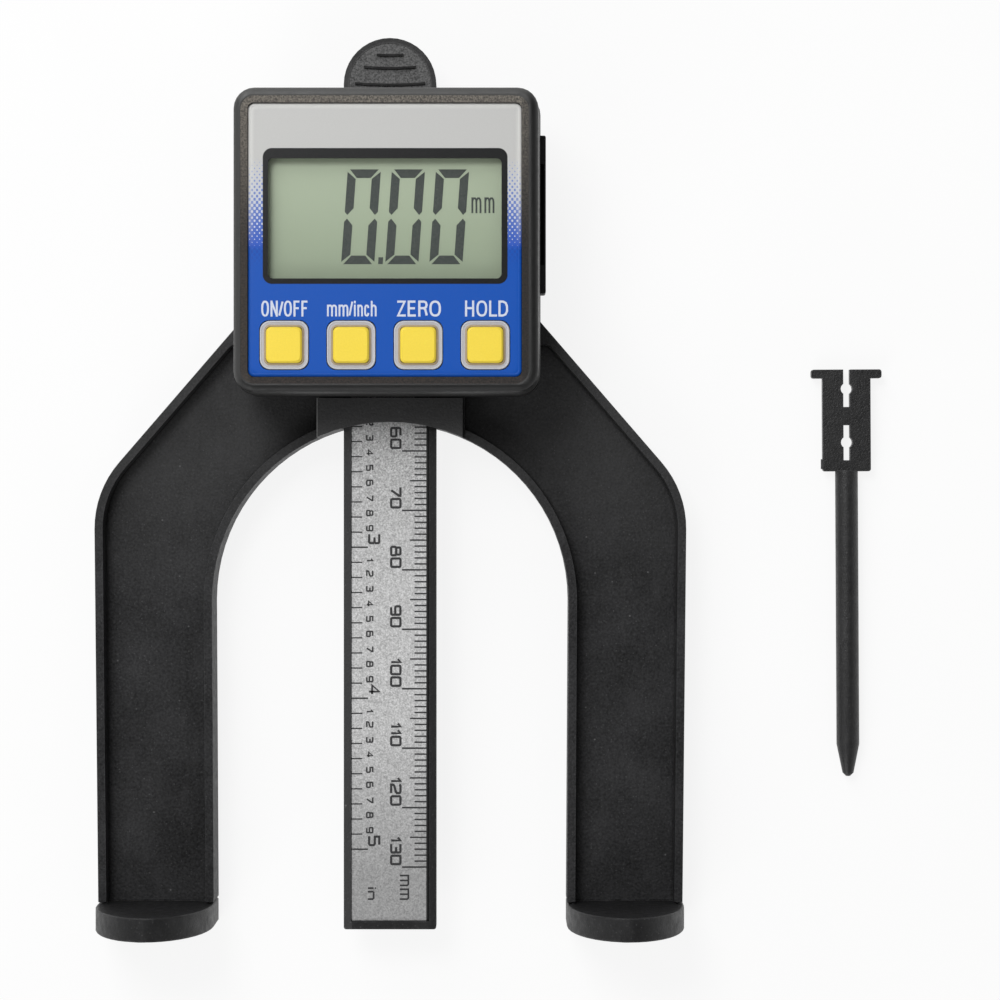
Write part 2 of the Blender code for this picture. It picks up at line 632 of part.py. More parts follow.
def make_frame(finish):
    frame = plate('frame', [frame_outline()], -FRAME_BACK, FRAME_FRONT, finish)
    soften(frame, FRAME_EDGE)
    join(frame, plate('seat_block', [seat_outline()], -FRAME_EDGE, SEAT_FACE))
    join(frame, box(
        'bridge_block', (-BRIDGE_HALF_WIDTH, CHANNEL_START, -BRIDGE_BAR),
        (BRIDGE_HALF_WIDTH, BRIDGE_TOP, CHANNEL_FACE + BRIDGE_BAR)))
    cut(frame, plate('arch', [arch_outline()], -FRAME_BACK - OVERRUN, CHANNEL_FACE + BRIDGE_BAR + OVERRUN))
    for side in (-1, 1):
        outline = pocket_outline(side)
        pocket = plate('front_pocket', [outline], FRAME_FRONT - FRONT_POCKET_DEPTH, FRAME_FRONT + OVERRUN)
        cut(frame, pocket)
        hollow = plate('rear_pocket', [outline], -FRAME_BACK - OVERRUN, REAR_POCKET_DEPTH - FRAME_BACK)
        cut(frame, hollow)
        start = Vector((side * FOOT_CENTRE, LEG_END + CLEARANCE, -FOOT_SCREW_DEPTH))
        end = start + Vector((0, FOOT_BOSS_LENGTH, 0))
        join(frame, rod('foot_boss', FOOT_BOSS_RADIUS, start, end, SMALL_ROUND_SIDES))
        hole_radius = FOOT_SCREW_RADIUS + CLEARANCE
        hole_end = end - Vector((0, OVERRUN, 0))
        start.y = LEG_END - OVERRUN
        cut(frame, rod('foot_screw_hole', hole_radius, start, hole_end, SMALL_ROUND_SIDES))
    cut(frame, box(
        'beam_channel', (-CHANNEL_HALF_WIDTH, CHANNEL_START, -CHANNEL_FACE),
        (CHANNEL_HALF_WIDTH, NECK_TOP + OVERRUN, CHANNEL_FACE)))
    cut(frame, box(
        'stud_groove', (-STUD_GROOVE_HALF_WIDTH, CHANNEL_START, -BEAM_FACE - STUD_LENGTH - CLEARANCE),
        (STUD_GROOVE_HALF_WIDTH, STUD_GROOVE_END, -BEAM_FACE)))
    spring_side = SPRING_WIDTH / 2 + CLEARANCE
    cut(frame, box(
        'spring_pocket', (-spring_side, SPRING_START - CLEARANCE, SPRING_POCKET_FLOOR),
        (spring_side, SPRING_START + SPRING_LENGTH + CLEARANCE, -BEAM_FACE)))
    place = (0, SPRING_START + SPRING_SCREW_INSET, SPRING_POCKET_FLOOR + OVERRUN)
    end = (0, place[1], SPRING_POCKET_FLOOR - SPRING_SCREW_LENGTH)
    cut(frame, rod('spring_screw_hole', SPRING_SCREW_RADIUS + CLEARANCE, end, place, SMALL_ROUND_SIDES))
    cut_case_screws(frame, SEAT_FACE + OVERRUN)
    for x, y in SCREW_PLACES:
        sink = CASE_SCREW_HEAD_RADIUS + CLEARANCE
        low = (x, y, -FRAME_BACK - OVERRUN)
        cut(frame, rod('screw_sink', sink, low, (x, y, SCREW_SHOULDER), SMALL_ROUND_SIDES))


def cut_case_screws(target, top):
    """Holes for the four case screws, from the frame's back up to a height."""
    for x, y in SCREW_PLACES:
        low = (x, y, -FRAME_BACK - OVERRUN)
        cut(target, rod('screw_hole', SCREW_HOLE_RADIUS, low, (x, y, top), SMALL_ROUND_SIDES))


def foot_outline(side):
    """A foot seen along the scale: straight flanks and a half-oval nose."""
    half = (FOOT_OUTSIDE - LEG_INSIDE) / 2
    flank = FOOT_FLANK - FRAME_BACK
    points = [(side * FOOT_CENTRE - half, -FRAME_BACK), (side * FOOT_CENTRE + half, -FRAME_BACK)]
    for step in range(FOOT_STEPS + 1):
        angle = math.pi * step / FOOT_STEPS
        points.append((side * FOOT_CENTRE + half * math.cos(angle), flank + FOOT_NOSE * math.sin(angle)))
    return points


def magnet_places():
    depths = (REAR_MAGNET_DEPTH, REAR_MAGNET_DEPTH + MAGNET_SPACING)
    return [(side, depth) for side in (-1, 1) for depth in depths]


def make_foot(name, side, finish):
    foot = plate(name, [foot_outline(side)], -FOOT_HEIGHT, 0, finish, UPRIGHT)
    soften(foot, FOOT_EDGE)
    x = side * FOOT_CENTRE
    for place, depth in magnet_places():
        if place == side:
            end = (x, GLUE_LINE + MAGNET_THICKNESS + CLEARANCE, depth)
            cut(foot, rod('magnet_pocket', MAGNET_RADIUS + CLEARANCE, (x, -OVERRUN, depth), end, ROUND_SIDES))
    sink = FOOT_SCREW_SINK + FOOT_SCREW_HEAD + CLEARANCE
    for radius, reach in ((FOOT_SCREW_HEAD_RADIUS, sink), (FOOT_SCREW_RADIUS, FOOT_HEIGHT + OVERRUN)):
        start = (x, -OVERRUN, -FOOT_SCREW_DEPTH)
        end = (x, reach, -FOOT_SCREW_DEPTH)
        cut(foot, rod('foot_screw_way', radius + CLEARANCE, start, end, SMALL_ROUND_SIDES))


def make_foot_fittings(magnet_finish, screw_finish):
    for number, (side, depth) in enumerate(magnet_places(), 1):
        start = Vector((side * FOOT_CENTRE, GLUE_LINE, depth))
        end = start + Vector((0, MAGNET_THICKNESS, 0))
        rod('foot_magnet_%d' % number, MAGNET_RADIUS, start, end, ROUND_SIDES, magnet_finish)
    profile = screw_profile(FOOT_SCREW_RADIUS, FOOT_SCREW_HEAD_RADIUS, FOOT_SCREW_HEAD, FOOT_SCREW_LENGTH)
    for name, side in (('foot_screw_left', -1), ('foot_screw_right', 1)):
        screw = bmesh.new()
        place = (side * FOOT_CENTRE, FOOT_SCREW_SINK, -FOOT_SCREW_DEPTH)
        add_turned(screw, profile, place, UPRIGHT.inverted(), SMALL_ROUND_SIDES)
        body(name, screw, screw_finish)


def make_slide_spring(spring_finish, screw_finish):
    """A bowed leaf in the neck's floor that steadies the beam, and its screw."""
    half = SPRING_LENGTH / 2
    foot = SPRING_SCREW_INSET + SPRING_SCREW_INSET
    low = SPRING_POCKET_FLOOR + CLEARANCE + SPRING_THICKNESS / 2
    crown = -BEAM_FACE - CLEARANCE - SPRING_THICKNESS / 2
    bow = [(SPRING_START, low), (SPRING_START + foot, low)]
    reach = SPRING_LENGTH - foot
    for step in range(1, TAB_STEPS // 2):
        share = step / (TAB_STEPS // 2)
        bow.append((SPRING_START + foot + reach * share, low + (crown - low) * math.sin(math.pi * share)))
    bow.append((SPRING_START + half + half, low))
    side = SPRING_WIDTH / 2
    spring = plate('slide_spring', [strip(bow, SPRING_THICKNESS)], -side, side, spring_finish, SIDEWAYS)
    head_top = low + SPRING_THICKNESS / 2 + CLEARANCE + SPRING_SCREW_HEAD
    place = Vector((0, SPRING_START + SPRING_SCREW_INSET, head_top))
    rise = Vector((0, 0, OVERRUN))
    hole_radius = SPRING_SCREW_RADIUS + CLEARANCE
    cut(spring, rod('spring_hole', hole_radius, place - rise * 2, place + rise, SMALL_ROUND_SIDES))
    screw = bmesh.new()
    length = place.z - SPRING_SCREW_HEAD - SPRING_POCKET_FLOOR + SPRING_SCREW_LENGTH - CLEARANCE
    profile = screw_profile(SPRING_SCREW_RADIUS, SPRING_SCREW_HEAD_RADIUS, SPRING_SCREW_HEAD, length)
    turn = Matrix.Rotation(math.pi, 4, 'X')
    add_turned(screw, profile, place, turn, SMALL_ROUND_SIDES)
    body('spring_screw', screw, screw_finish)


def strip(points, thickness):
    """Outline of a bent strip along its middle line, thickened up and down."""
    lower = [(x, y - thickness / 2) for x, y in points]
    upper = [(x, y + thickness / 2) for x, y in reversed(points)]
    return lower + upper


def make_beam(finish, parent):
    """The measuring stick: half-round top, sunk label bed and gripping tab."""
    tip = [(BEAM_HALF_WIDTH, 0, BEAM_CORNER)]
    top = [(x, y, 0) for x, y in arc((0, TAB_CENTRE), BEAM_HALF_WIDTH, 0, math.pi, TAB_STEPS)]
    outline = rounded([(-BEAM_HALF_WIDTH, 0, BEAM_CORNER)] + tip + top)
    beam = plate('measuring_beam', [outline], -BEAM_FACE, BEAM_FACE, finish, parent=parent)
    soften(beam, BEAM_EDGE)
    side = LABEL_HALF_WIDTH + GLUE_LINE
    cut(beam, box(
        'label_bed', (-side, LABEL_START - GLUE_LINE, SCALE_BOARD_BACK - GLUE_LINE),
        (side, LABEL_END + GLUE_LINE, BEAM_FACE + OVERRUN), parent=parent))
    radius = BEAM_HALF_WIDTH - TAB_RIM
    start = math.asin((TAB_FIELD_START - TAB_CENTRE) / radius)
    field = arc((0, TAB_CENTRE), radius, start, math.pi - start, TAB_STEPS)
    floor = BEAM_FACE - TAB_FIELD_DEPTH
    cut(beam, plate('tab_field', [field], floor, BEAM_FACE + OVERRUN, parent=parent))
    for drop, length in zip(RIDGE_DROPS, RIDGE_LENGTHS):
        outline = ridge_outline(BEAM_LENGTH - drop, length)
        join(beam, plate('tab_ridge', [outline], 0, BEAM_FACE + RIDGE_RISE, parent=parent))
    profile = [
        (0, OVERRUN), (STUD_RADIUS, OVERRUN), (STUD_RADIUS, STUD_CHAMFER - STUD_LENGTH),
        (STUD_RADIUS - STUD_CHAMFER, -STUD_LENGTH), (0, -STUD_LENGTH)]
    for height in (LOWER_STUD_HEIGHT, LOWER_STUD_HEIGHT + STUD_SPACING):
        stud = bmesh.new()
        add_turned(stud, profile, (0, height, -BEAM_FACE), FLAT, SMALL_ROUND_SIDES)
        join(beam, body('stud', stud, parent=parent))


def ridge_outline(height, length):
    """A gripping ridge across the tab, its ends turned slightly up."""
    sag = length * RIDGE_SAG_SHARE
    spine = []
    for step in range(RIDGE_STEPS + 1):
        share = (step + step) / RIDGE_STEPS - 1
        spine.append((share * length / 2, height + sag * share * share))
    return strip(spine, RIDGE_WIDTH)


def make_scale(label_finish, board_finish, parent):
    """The printed scale and the etched board under it that the head reads."""
    side = LABEL_HALF_WIDTH
    box('scale_label', (-side, LABEL_START, LABEL_BACK), (side, LABEL_END, LABEL_FACE), label_finish, parent)
    low = (-side, LABEL_START, SCALE_BOARD_BACK)
    box('scale_board', low, (side, LABEL_END, SCALE_BOARD_FACE), board_finish, parent)


def head_ring(half_width, half_height, corner, height, shift=0.0):
    return rectangle(half_width, half_height, corner, (shift, HEAD_CENTRE), HEAD_CORNER_STEPS), height


def make_rear_case(finish):
    """The head's rear tray, with screw posts, sensor window and drawer mouth."""
    edge = REAR_EDGE_ROUND
    rings = [
        head_ring(HEAD_HALF_WIDTH - edge, HEAD_HALF_HEIGHT - edge, HEAD_CORNER, HEAD_BACK),
        head_ring(HEAD_HALF_WIDTH, HEAD_HALF_HEIGHT, HEAD_CORNER, HEAD_BACK + edge),
        head_ring(HEAD_HALF_WIDTH, HEAD_HALF_HEIGHT, HEAD_CORNER, PARTING),
    ]
    case = loft('head_rear_case', rings, finish)
    inner = rectangle(
        HEAD_HALF_WIDTH - HEAD_WALL, HEAD_HALF_HEIGHT - HEAD_WALL, HEAD_CORNER - HEAD_WALL, (0, HEAD_CENTRE))
    cut(case, plate('rear_cavity', [inner], REAR_FLOOR_TOP, PARTING + OVERRUN))
    for x, y in SCREW_PLACES:
        low = (x, y, REAR_FLOOR_TOP - GLUE_LINE)
        join(case, rod('rear_post', CASE_POST_RADIUS, low, (x, y, BOARD_BACK - CLEARANCE), SMALL_ROUND_SIDES))
    cut_case_screws(case, BOARD_FACE)
    half_width = SENSOR_BOARD_HALF_WIDTH
    half_length = SENSOR_BOARD_HALF_LENGTH
    bed = rectangle(half_width + CLEARANCE, half_length + CLEARANCE, centre=(0, HEAD_CENTRE))
    window = rectangle(half_width - SENSOR_LEDGE, half_length - SENSOR_LEDGE, centre=(0, HEAD_CENTRE))
    cut(case, plate('sensor_bed', [bed], SENSOR_BOARD_BACK - CLEARANCE, REAR_FLOOR_TOP + OVERRUN))
    cut(case, plate('sensor_window', [window], HEAD_BACK - OVERRUN, REAR_FLOOR_TOP))
    cut_drawer_mouth(case)


def cut_drawer_mouth(case):
    """The drawer's way through the right wall, its shallow seat and two rails."""
    inside = HEAD_HALF_WIDTH - HEAD_WALL
    half = DRAWER_HALF_LENGTH
    for side in (-1, 1):
        edges = sorted((DRAWER_CENTRE + side * half, DRAWER_CENTRE + side * (half - DRAWER_RAIL_WIDTH)))
        low = (SENSOR_BOARD_HALF_WIDTH + OVERRUN, edges[0], REAR_FLOOR_TOP - GLUE_LINE)
        join(case, box('drawer_rail', low, (inside + GLUE_LINE, edges[1], DRAWER_BOTTOM - CLEARANCE)))
    reach = half + CLEARANCE
    low = (inside - OVERRUN, DRAWER_CENTRE - reach, DRAWER_BOTTOM - CLEARANCE)
    high = (HEAD_HALF_WIDTH + OVERRUN, DRAWER_CENTRE + reach, CELL_TOP + CLEARANCE)
    cut(case, box('drawer_mouth', low, high))
    reach = DRAWER_FRONT_HALF_LENGTH + CLEARANCE
    margin = DRAWER_FRONT_MARGIN + CLEARANCE
    low = (HEAD_HALF_WIDTH - DRAWER_FRONT_SINK - CLEARANCE, DRAWER_CENTRE - reach, DRAWER_BOTTOM - margin)
    high = (HEAD_HALF_WIDTH + OVERRUN, DRAWER_CENTRE + reach, CELL_TOP + margin)
    cut(case, box('drawer_seat', low, high))


def lens_half_sizes(gap=0.0):
    return WINDOW_WIDTH / 2 + LENS_BORDER + gap, WINDOW_HEIGHT / 2 + LENS_BORDER + gap


def make_front_case(finish):
    """The head's front cover: drafted sides, rounded crest, sloping bezel and face plate."""
    top_width = FRONT_HALF_WIDTH - HEAD_DRAFT
    top_height = FRONT_HALF_HEIGHT - HEAD_END_DRAFT
    bed_width = SHEET_HALF_WIDTH + SHEET_GAP
    bed_height = SHEET_HALF_HEIGHT + SHEET_GAP
    slope_width = bed_width + FRONT_SLOPE_WIDTH
    slope_height = bed_height + FRONT_SLOPE_WIDTH
    rings = [head_ring(FRONT_HALF_WIDTH, FRONT_HALF_HEIGHT, HEAD_CORNER, FRONT_START)]
    for step in range(FRONT_EDGE_STEPS + 1):
        angle = math.radians(90) * step / FRONT_EDGE_STEPS
        inset = FRONT_EDGE_ROUND * (1 - math.cos(angle))
        height = FRONT_TOP - FRONT_EDGE_ROUND * (1 - math.sin(angle))
        rings.append(head_ring(top_width - inset, top_height - inset, HEAD_CORNER - inset, height))
    rings += [
        head_ring(slope_width, slope_height, SHEET_CORNER + FRONT_SLOPE_WIDTH, FRONT_TOP, SHEET_SHIFT),
        head_ring(bed_width, bed_height, SHEET_CORNER, FRONT_TOP - FRONT_SLOPE_DROP, SHEET_SHIFT),
        head_ring(bed_width, bed_height, SHEET_CORNER, PLATE_FACE, SHEET_SHIFT),
    ]
    case = loft('head_front_case', rings, finish)
    inner = rectangle(
        FRONT_INNER_HALF_WIDTH, FRONT_INNER_HALF_HEIGHT, HEAD_CORNER - HEAD_WALL, (0, HEAD_CENTRE))
    cut(case, plate('front_cavity', [inner], FRONT_START - OVERRUN, PLATE_BACK))
    lip_width = HEAD_HALF_WIDTH - HEAD_WALL - CLEARANCE
    lip_height = HEAD_HALF_HEIGHT - HEAD_WALL - CLEARANCE
    lip_corner = HEAD_CORNER - HEAD_WALL - CLEARANCE
    lip = [
        rectangle(lip_width, lip_height, lip_corner, (0, HEAD_CENTRE)),
        rectangle(lip_width - LIP_WIDTH, lip_height - LIP_WIDTH, lip_corner - LIP_WIDTH, (0, HEAD_CENTRE)),
    ]
    join(case, plate('case_lip', lip, FRONT_START - LIP_LENGTH, FRONT_START + LIP_LENGTH))
    for x, y in SCREW_PLACES:
        low = (x, y, BOARD_FACE + CLEARANCE)
        high = (x, y, PLATE_BACK + GLUE_LINE)
        join(case, rod('front_post', CASE_POST_RADIUS, low, high, SMALL_ROUND_SIDES))
    pilot_end = SCREW_SHOULDER - CLEARANCE + CASE_SCREW_LENGTH + CLEARANCE
    cut_case_screws(case, pilot_end)
    half_width, half_height = lens_half_sizes(CLEARANCE)
    window = rectangle(half_width, half_height, WINDOW_CORNER, (SHEET_SHIFT, WINDOW_CENTRE))
    cut(case, plate('lens_opening', [window], PLATE_BACK - OVERRUN, SHEET_FACE))
    half = COLLAR_SIZE / 2 + KEY_GAP
    for x in KEY_OFFSETS:
        opening = rectangle(half, half, COLLAR_CORNER, (x, KEY_ROW_HEIGHT))
        cut(case, plate('key_opening', [opening], PLATE_BACK - OVERRUN, SHEET_FACE))


def make_face(sheet_finish, lens_finish, lcd_finish, holder_finish, zebra_finish):
    """The printed face sheet, and the display stack behind its window."""
    window_place = (SHEET_SHIFT, WINDOW_CENTRE)
    half_width = SHEET_HALF_WIDTH
    half_height = SHEET_HALF_HEIGHT
    back = SHEET_FACE - SHEET_THICKNESS
    flat_width = half_width - SHEET_BORDER
    flat_height = half_height - SHEET_BORDER
    sheet = loft('face_sheet', [
        head_ring(half_width, half_height, SHEET_CORNER, back, SHEET_SHIFT),
        head_ring(half_width, half_height, SHEET_CORNER, SHEET_FACE - SHEET_BORDER_DROP, SHEET_SHIFT),
        head_ring(flat_width, flat_height, SHEET_CORNER, SHEET_FACE, SHEET_SHIFT),
    ], sheet_finish)
    half = COLLAR_SIZE / 2 + SHEET_GAP
    outlines = [rectangle(WINDOW_WIDTH / 2, WINDOW_HEIGHT / 2, WINDOW_CORNER, window_place)]
    outlines += [rectangle(half, half, COLLAR_CORNER, (x, KEY_ROW_HEIGHT)) for x in KEY_OFFSETS]
    for outline in outlines:
        cut(sheet, plate('sheet_opening', [outline], back - OVERRUN, SHEET_FACE + OVERRUN))
    half_width, half_height = lens_half_sizes()
    lens = rectangle(half_width, half_height, WINDOW_CORNER, window_place)
    plate('display_lens', [lens], LENS_BACK, PLATE_FACE, lens_finish)
    half_width = WINDOW_WIDTH / 2 + LCD_BORDER
    half_height = WINDOW_HEIGHT / 2 + LCD_BORDER
    glass = rectangle(half_width, half_height, centre=window_place)
    lcd_back = LCD_FACE - LCD_THICKNESS
    plate('lcd_panel', [glass], lcd_back, LCD_FACE, lcd_finish)
    inside = rectangle(half_width + CLEARANCE, half_height + CLEARANCE, centre=window_place)
    wall = CLEARANCE + LCD_HOLDER_WALL
    outside = rectangle(half_width + wall, half_height + wall, WINDOW_CORNER, window_place)
    plate('lcd_holder', [outside, inside], BOARD_FACE + CLEARANCE, PLATE_BACK - CLEARANCE, holder_finish)
    for name, side in (('zebra_strip_lower', -1), ('zebra_strip_upper', 1)):
        y = WINDOW_CENTRE + side * (half_height - ZEBRA_WIDTH)
        low = (SHEET_SHIFT - half_width, y - ZEBRA_WIDTH / 2, BOARD_FACE + CLEARANCE)
        high = (SHEET_SHIFT + half_width, y + ZEBRA_WIDTH / 2, lcd_back - CLEARANCE)
        box(name, low, high, zebra_finish)


def make_keypad(finish):
    """The grey mat behind the face plate, whose collars frame the four keys."""
    half = COLLAR_SIZE / 2
    row = (KEY_OFFSETS[0] + KEY_OFFSETS[-1]) / 2
    reach = KEY_OFFSETS[-1] - row + half + MAT_MARGIN
    base = rectangle(reach, half + MAT_MARGIN, COLLAR_CORNER, (row, KEY_ROW_HEIGHT))
    mat = plate('keypad_bezel', [base], MAT_BACK, MAT_FACE, finish)
    way = KEY_SIZE / 2 + KEY_GAP
    for x in KEY_OFFSETS:
        collar = rectangle(half, half, COLLAR_CORNER, (x, KEY_ROW_HEIGHT))
        join(mat, plate('collar', [collar], MAT_BACK + CLEARANCE, SHEET_FACE + COLLAR_RISE))
        hole = rectangle(way, way, KEY_CORNER, (x, KEY_ROW_HEIGHT))
        cut(mat, plate('key_way', [hole], MAT_BACK - OVERRUN, SHEET_FACE + OVERRUN))
    for left, right in zip(KEY_OFFSETS, KEY_OFFSETS[1:]):
        place = Vector(((left + right) / 2, KEY_ROW_HEIGHT, BOARD_FACE + CLEARANCE))
        end = (place.x, place.y, MAT_BACK + CLEARANCE)
        join(mat, rod('mat_peg', MAT_PEG_RADIUS, place, end, PIN_SIDES))
    for x, y in SCREW_PLACES:
        radius = CASE_POST_RADIUS + CLEARANCE
        low = (x, y, MAT_BACK - OVERRUN)
        cut(mat, rod('post_notch', radius, low, (x, y, MAT_FACE + OVERRUN), SMALL_ROUND_SIDES))


def key_bottom():
    """Rest height of a key's stem, which clears its dome when pressed."""
    return BOARD_FACE + GLUE_LINE + DOME_HEIGHT + KEY_TRAVEL + CLEARANCE


def make_key(name, x, finish):
    """A square push key with a trapped flange and a stem over its dome."""
    flange_top = MAT_BACK - CLEARANCE
    flange_bottom = flange_top - KEY_FLANGE_THICKNESS
    cap = KEY_SIZE / 2
    flange = cap + KEY_FLANGE
    stem = KEY_STEM / 2
    top = SHEET_FACE + KEY_RISE
    levels = [
        (stem, key_bottom()), (stem, flange_bottom), (flange, flange_bottom), (flange, flange_top),
        (cap, flange_top), (cap, top - KEY_EDGE), (cap - KEY_EDGE, top)]
    place = pivot(name + '_axis', (x, KEY_ROW_HEIGHT, top))
    rings = [
        (rectangle(half, half, KEY_CORNER, steps=KEY_CORNER_STEPS), height - top) for half, height in levels]
    loft(name, rings, finish, place)


def make_domes(finish):
    low = BOARD_FACE + GLUE_LINE
    for number, x in enumerate(KEY_OFFSETS, 1):
        start = (x, KEY_ROW_HEIGHT, low)
        end = (x, KEY_ROW_HEIGHT, low + DOME_HEIGHT)
        name = 'key_dome_%d' % number
        rod(name, DOME_RADIUS, start, end, SMALL_ROUND_SIDES, finish, end_radius=DOME_RADIUS / 2)


def make_boards(board_finish, chip_finish, pin_finish):
    """The main board, its sealed chip, the sensor board and the pins between."""
    half_width = FRONT_INNER_HALF_WIDTH - CLEARANCE
    half_height = FRONT_INNER_HALF_HEIGHT - CLEARANCE
    outline = rectangle(half_width, half_height, BOARD_CORNER + LIP_WIDTH, (0, HEAD_CENTRE))
    holes = [circle(SCREW_HOLE_RADIUS, place, SMALL_ROUND_SIDES) for place in SCREW_PLACES]
    plate('main_board', [outline] + holes, BOARD_BACK, BOARD_FACE, board_finish)
    sensor = rectangle(SENSOR_BOARD_HALF_WIDTH, SENSOR_BOARD_HALF_LENGTH, centre=(0, HEAD_CENTRE))
    plate('sensor_board', [sensor], SENSOR_BOARD_BACK, SENSOR_BOARD_FACE, board_finish)
    x = PIN_ROW_INSET - SENSOR_BOARD_HALF_WIDTH
    low = SENSOR_BOARD_FACE + CLEARANCE
    half_row = PIN_PITCH * PIN_COUNT / 2
    strip_half = PIN_PITCH / 2
    header = box(
        'pin_header', (x - strip_half, HEAD_CENTRE - half_row, low),
        (x + strip_half, HEAD_CENTRE + half_row, low + PIN_PITCH), pin_finish)
    for step in range(PIN_COUNT):
        y = HEAD_CENTRE - half_row + strip_half + PIN_PITCH * step
        start = (x, y, low + PIN_RADIUS)
        join(header, rod('pin', PIN_RADIUS, start, (x, y, BOARD_BACK - CLEARANCE), PIN_SIDES))
    chip = bmesh.new()
    profile = [(0, 0)]
    for step in range(PIN_SIDES // 2 + 1):
        angle = math.pi * step / PIN_SIDES
        profile.append((CHIP_RADIUS * math.cos(angle), -CHIP_HEIGHT * math.sin(angle)))
    profile[-1] = (0, -CHIP_HEIGHT)
    place = (x - CHIP_RADIUS - PIN_RADIUS - OVERRUN, HEAD_CENTRE, BOARD_BACK - GLUE_LINE)
    add_turned(chip, profile, place, FLAT, SMALL_ROUND_SIDES)
    body('chip_cover', chip, chip_finish)


def make_case_screws(finish):
    profile = screw_profile(CASE_SCREW_RADIUS, CASE_SCREW_HEAD_RADIUS, CASE_SCREW_HEAD, CASE_SCREW_LENGTH)
    for number, (x, y) in enumerate(SCREW_PLACES, 1):
        screw = bmesh.new()
        place = (x, y, SCREW_SHOULDER - CLEARANCE - CASE_SCREW_HEAD)
        add_turned(screw, profile, place, FLAT, SMALL_ROUND_SIDES)
        body('case_screw_%d' % number, screw, finish)


def make_contacts(finish):
    """Sprung battery contacts: one under the cell, one on the main board."""
    half = CONTACT_THICKNESS / 2
    low = -DRAWER_CENTRE - CONTACT_WIDTH / 2
    high = -DRAWER_CENTRE + CONTACT_WIDTH / 2
    foot = REAR_FLOOR_TOP + GLUE_LINE + half
    rest = CELL_BOTTOM - CLEARANCE - half
    lower = [
        (CELL_REACH - CONTACT_FOOT, foot), (CELL_REACH, foot),
        (CELL_REACH + CONTACT_REACH, rest), (CELL_REACH + CONTACT_REACH + CONTACT_THICKNESS, rest)]
    plate('battery_contact_lower', [strip(lower, CONTACT_THICKNESS)], low, high, finish, UPRIGHT)
    root = BOARD_BACK - GLUE_LINE - half
    touch = CELL_TOP + CLEARANCE + half
    start = CELL_REACH - CONTACT_ARM
    end = CELL_REACH + CONTACT_FOOT
    upper = [(start, root), (start + CONTACT_FOOT, root), (CELL_REACH, touch), (end, touch)]
    plate('battery_contact_upper', [strip(upper, CONTACT_THICKNESS)], low, high, finish, UPRIGHT)


def make_drawer(drawer_finish, cell_finish):
    """The battery drawer in the head's right side, with its coin cell."""
    front_back = HEAD_HALF_WIDTH - DRAWER_FRONT_SINK
    place = pivot('drawer_axis', (front_back, DRAWER_CENTRE, DRAWER_BOTTOM))
    half = DRAWER_HALF_LENGTH
    inner_end = CELL_REACH - half - front_back
    cell_x = CELL_REACH - front_back
    rim = CELL_TOP - DRAWER_RIM_DROP - DRAWER_BOTTOM
    tray = rectangle((GLUE_LINE - inner_end) / 2, half, DRAWER_FRONT_CORNER, ((inner_end + GLUE_LINE) / 2, 0))
    drawer = plate('battery_drawer', [tray], 0, rim, drawer_finish, parent=place)
    well = circle(CELL_RADIUS + CLEARANCE, (cell_x, 0), ROUND_SIDES + ROUND_SIDES)
    cut(drawer, plate('cell_well', [well], DRAWER_FLOOR, rim + OVERRUN, parent=place))
    slot = CONTACT_WIDTH / 2 + DRAWER_SLOT_SIDE
    cut(drawer, box(
        'contact_slot', (inner_end - OVERRUN, -slot, -OVERRUN),
        (cell_x + CONTACT_REACH + OVERRUN, slot, rim + OVERRUN), parent=place))
    low = -DRAWER_FRONT_MARGIN
    high = CELL_TOP - DRAWER_BOTTOM + DRAWER_FRONT_MARGIN
    outline = rectangle(DRAWER_FRONT_THICKNESS / 2, DRAWER_FRONT_HALF_LENGTH, DRAWER_FRONT_THICKNESS / 4)
    front = plate('drawer_front', [outline], low, high, parent=place)
    front.location.x = DRAWER_FRONT_THICKNESS / 2
    join(drawer, front)
    grip = DRAWER_GRIP_LENGTH / 2
    cut(drawer, box(
        'finger_groove', (-OVERRUN, -grip, high - DRAWER_GRIP_DEPTH),
        (DRAWER_FRONT_THICKNESS - DRAWER_GRIP_LIP, grip, high + OVERRUN), parent=place))
    cell = bmesh.new()
    step = CELL_STEP
    profile = [
        (0, 0), (CELL_RADIUS - step, 0), (CELL_RADIUS - step, step), (CELL_RADIUS, step),
        (CELL_RADIUS, CELL_THICKNESS), (0, CELL_THICKNESS)]
    add_turned(cell, profile, (cell_x, 0, CELL_BOTTOM - DRAWER_BOTTOM), FLAT, ROUND_SIDES)
    body('battery_cell', cell, cell_finish, place)


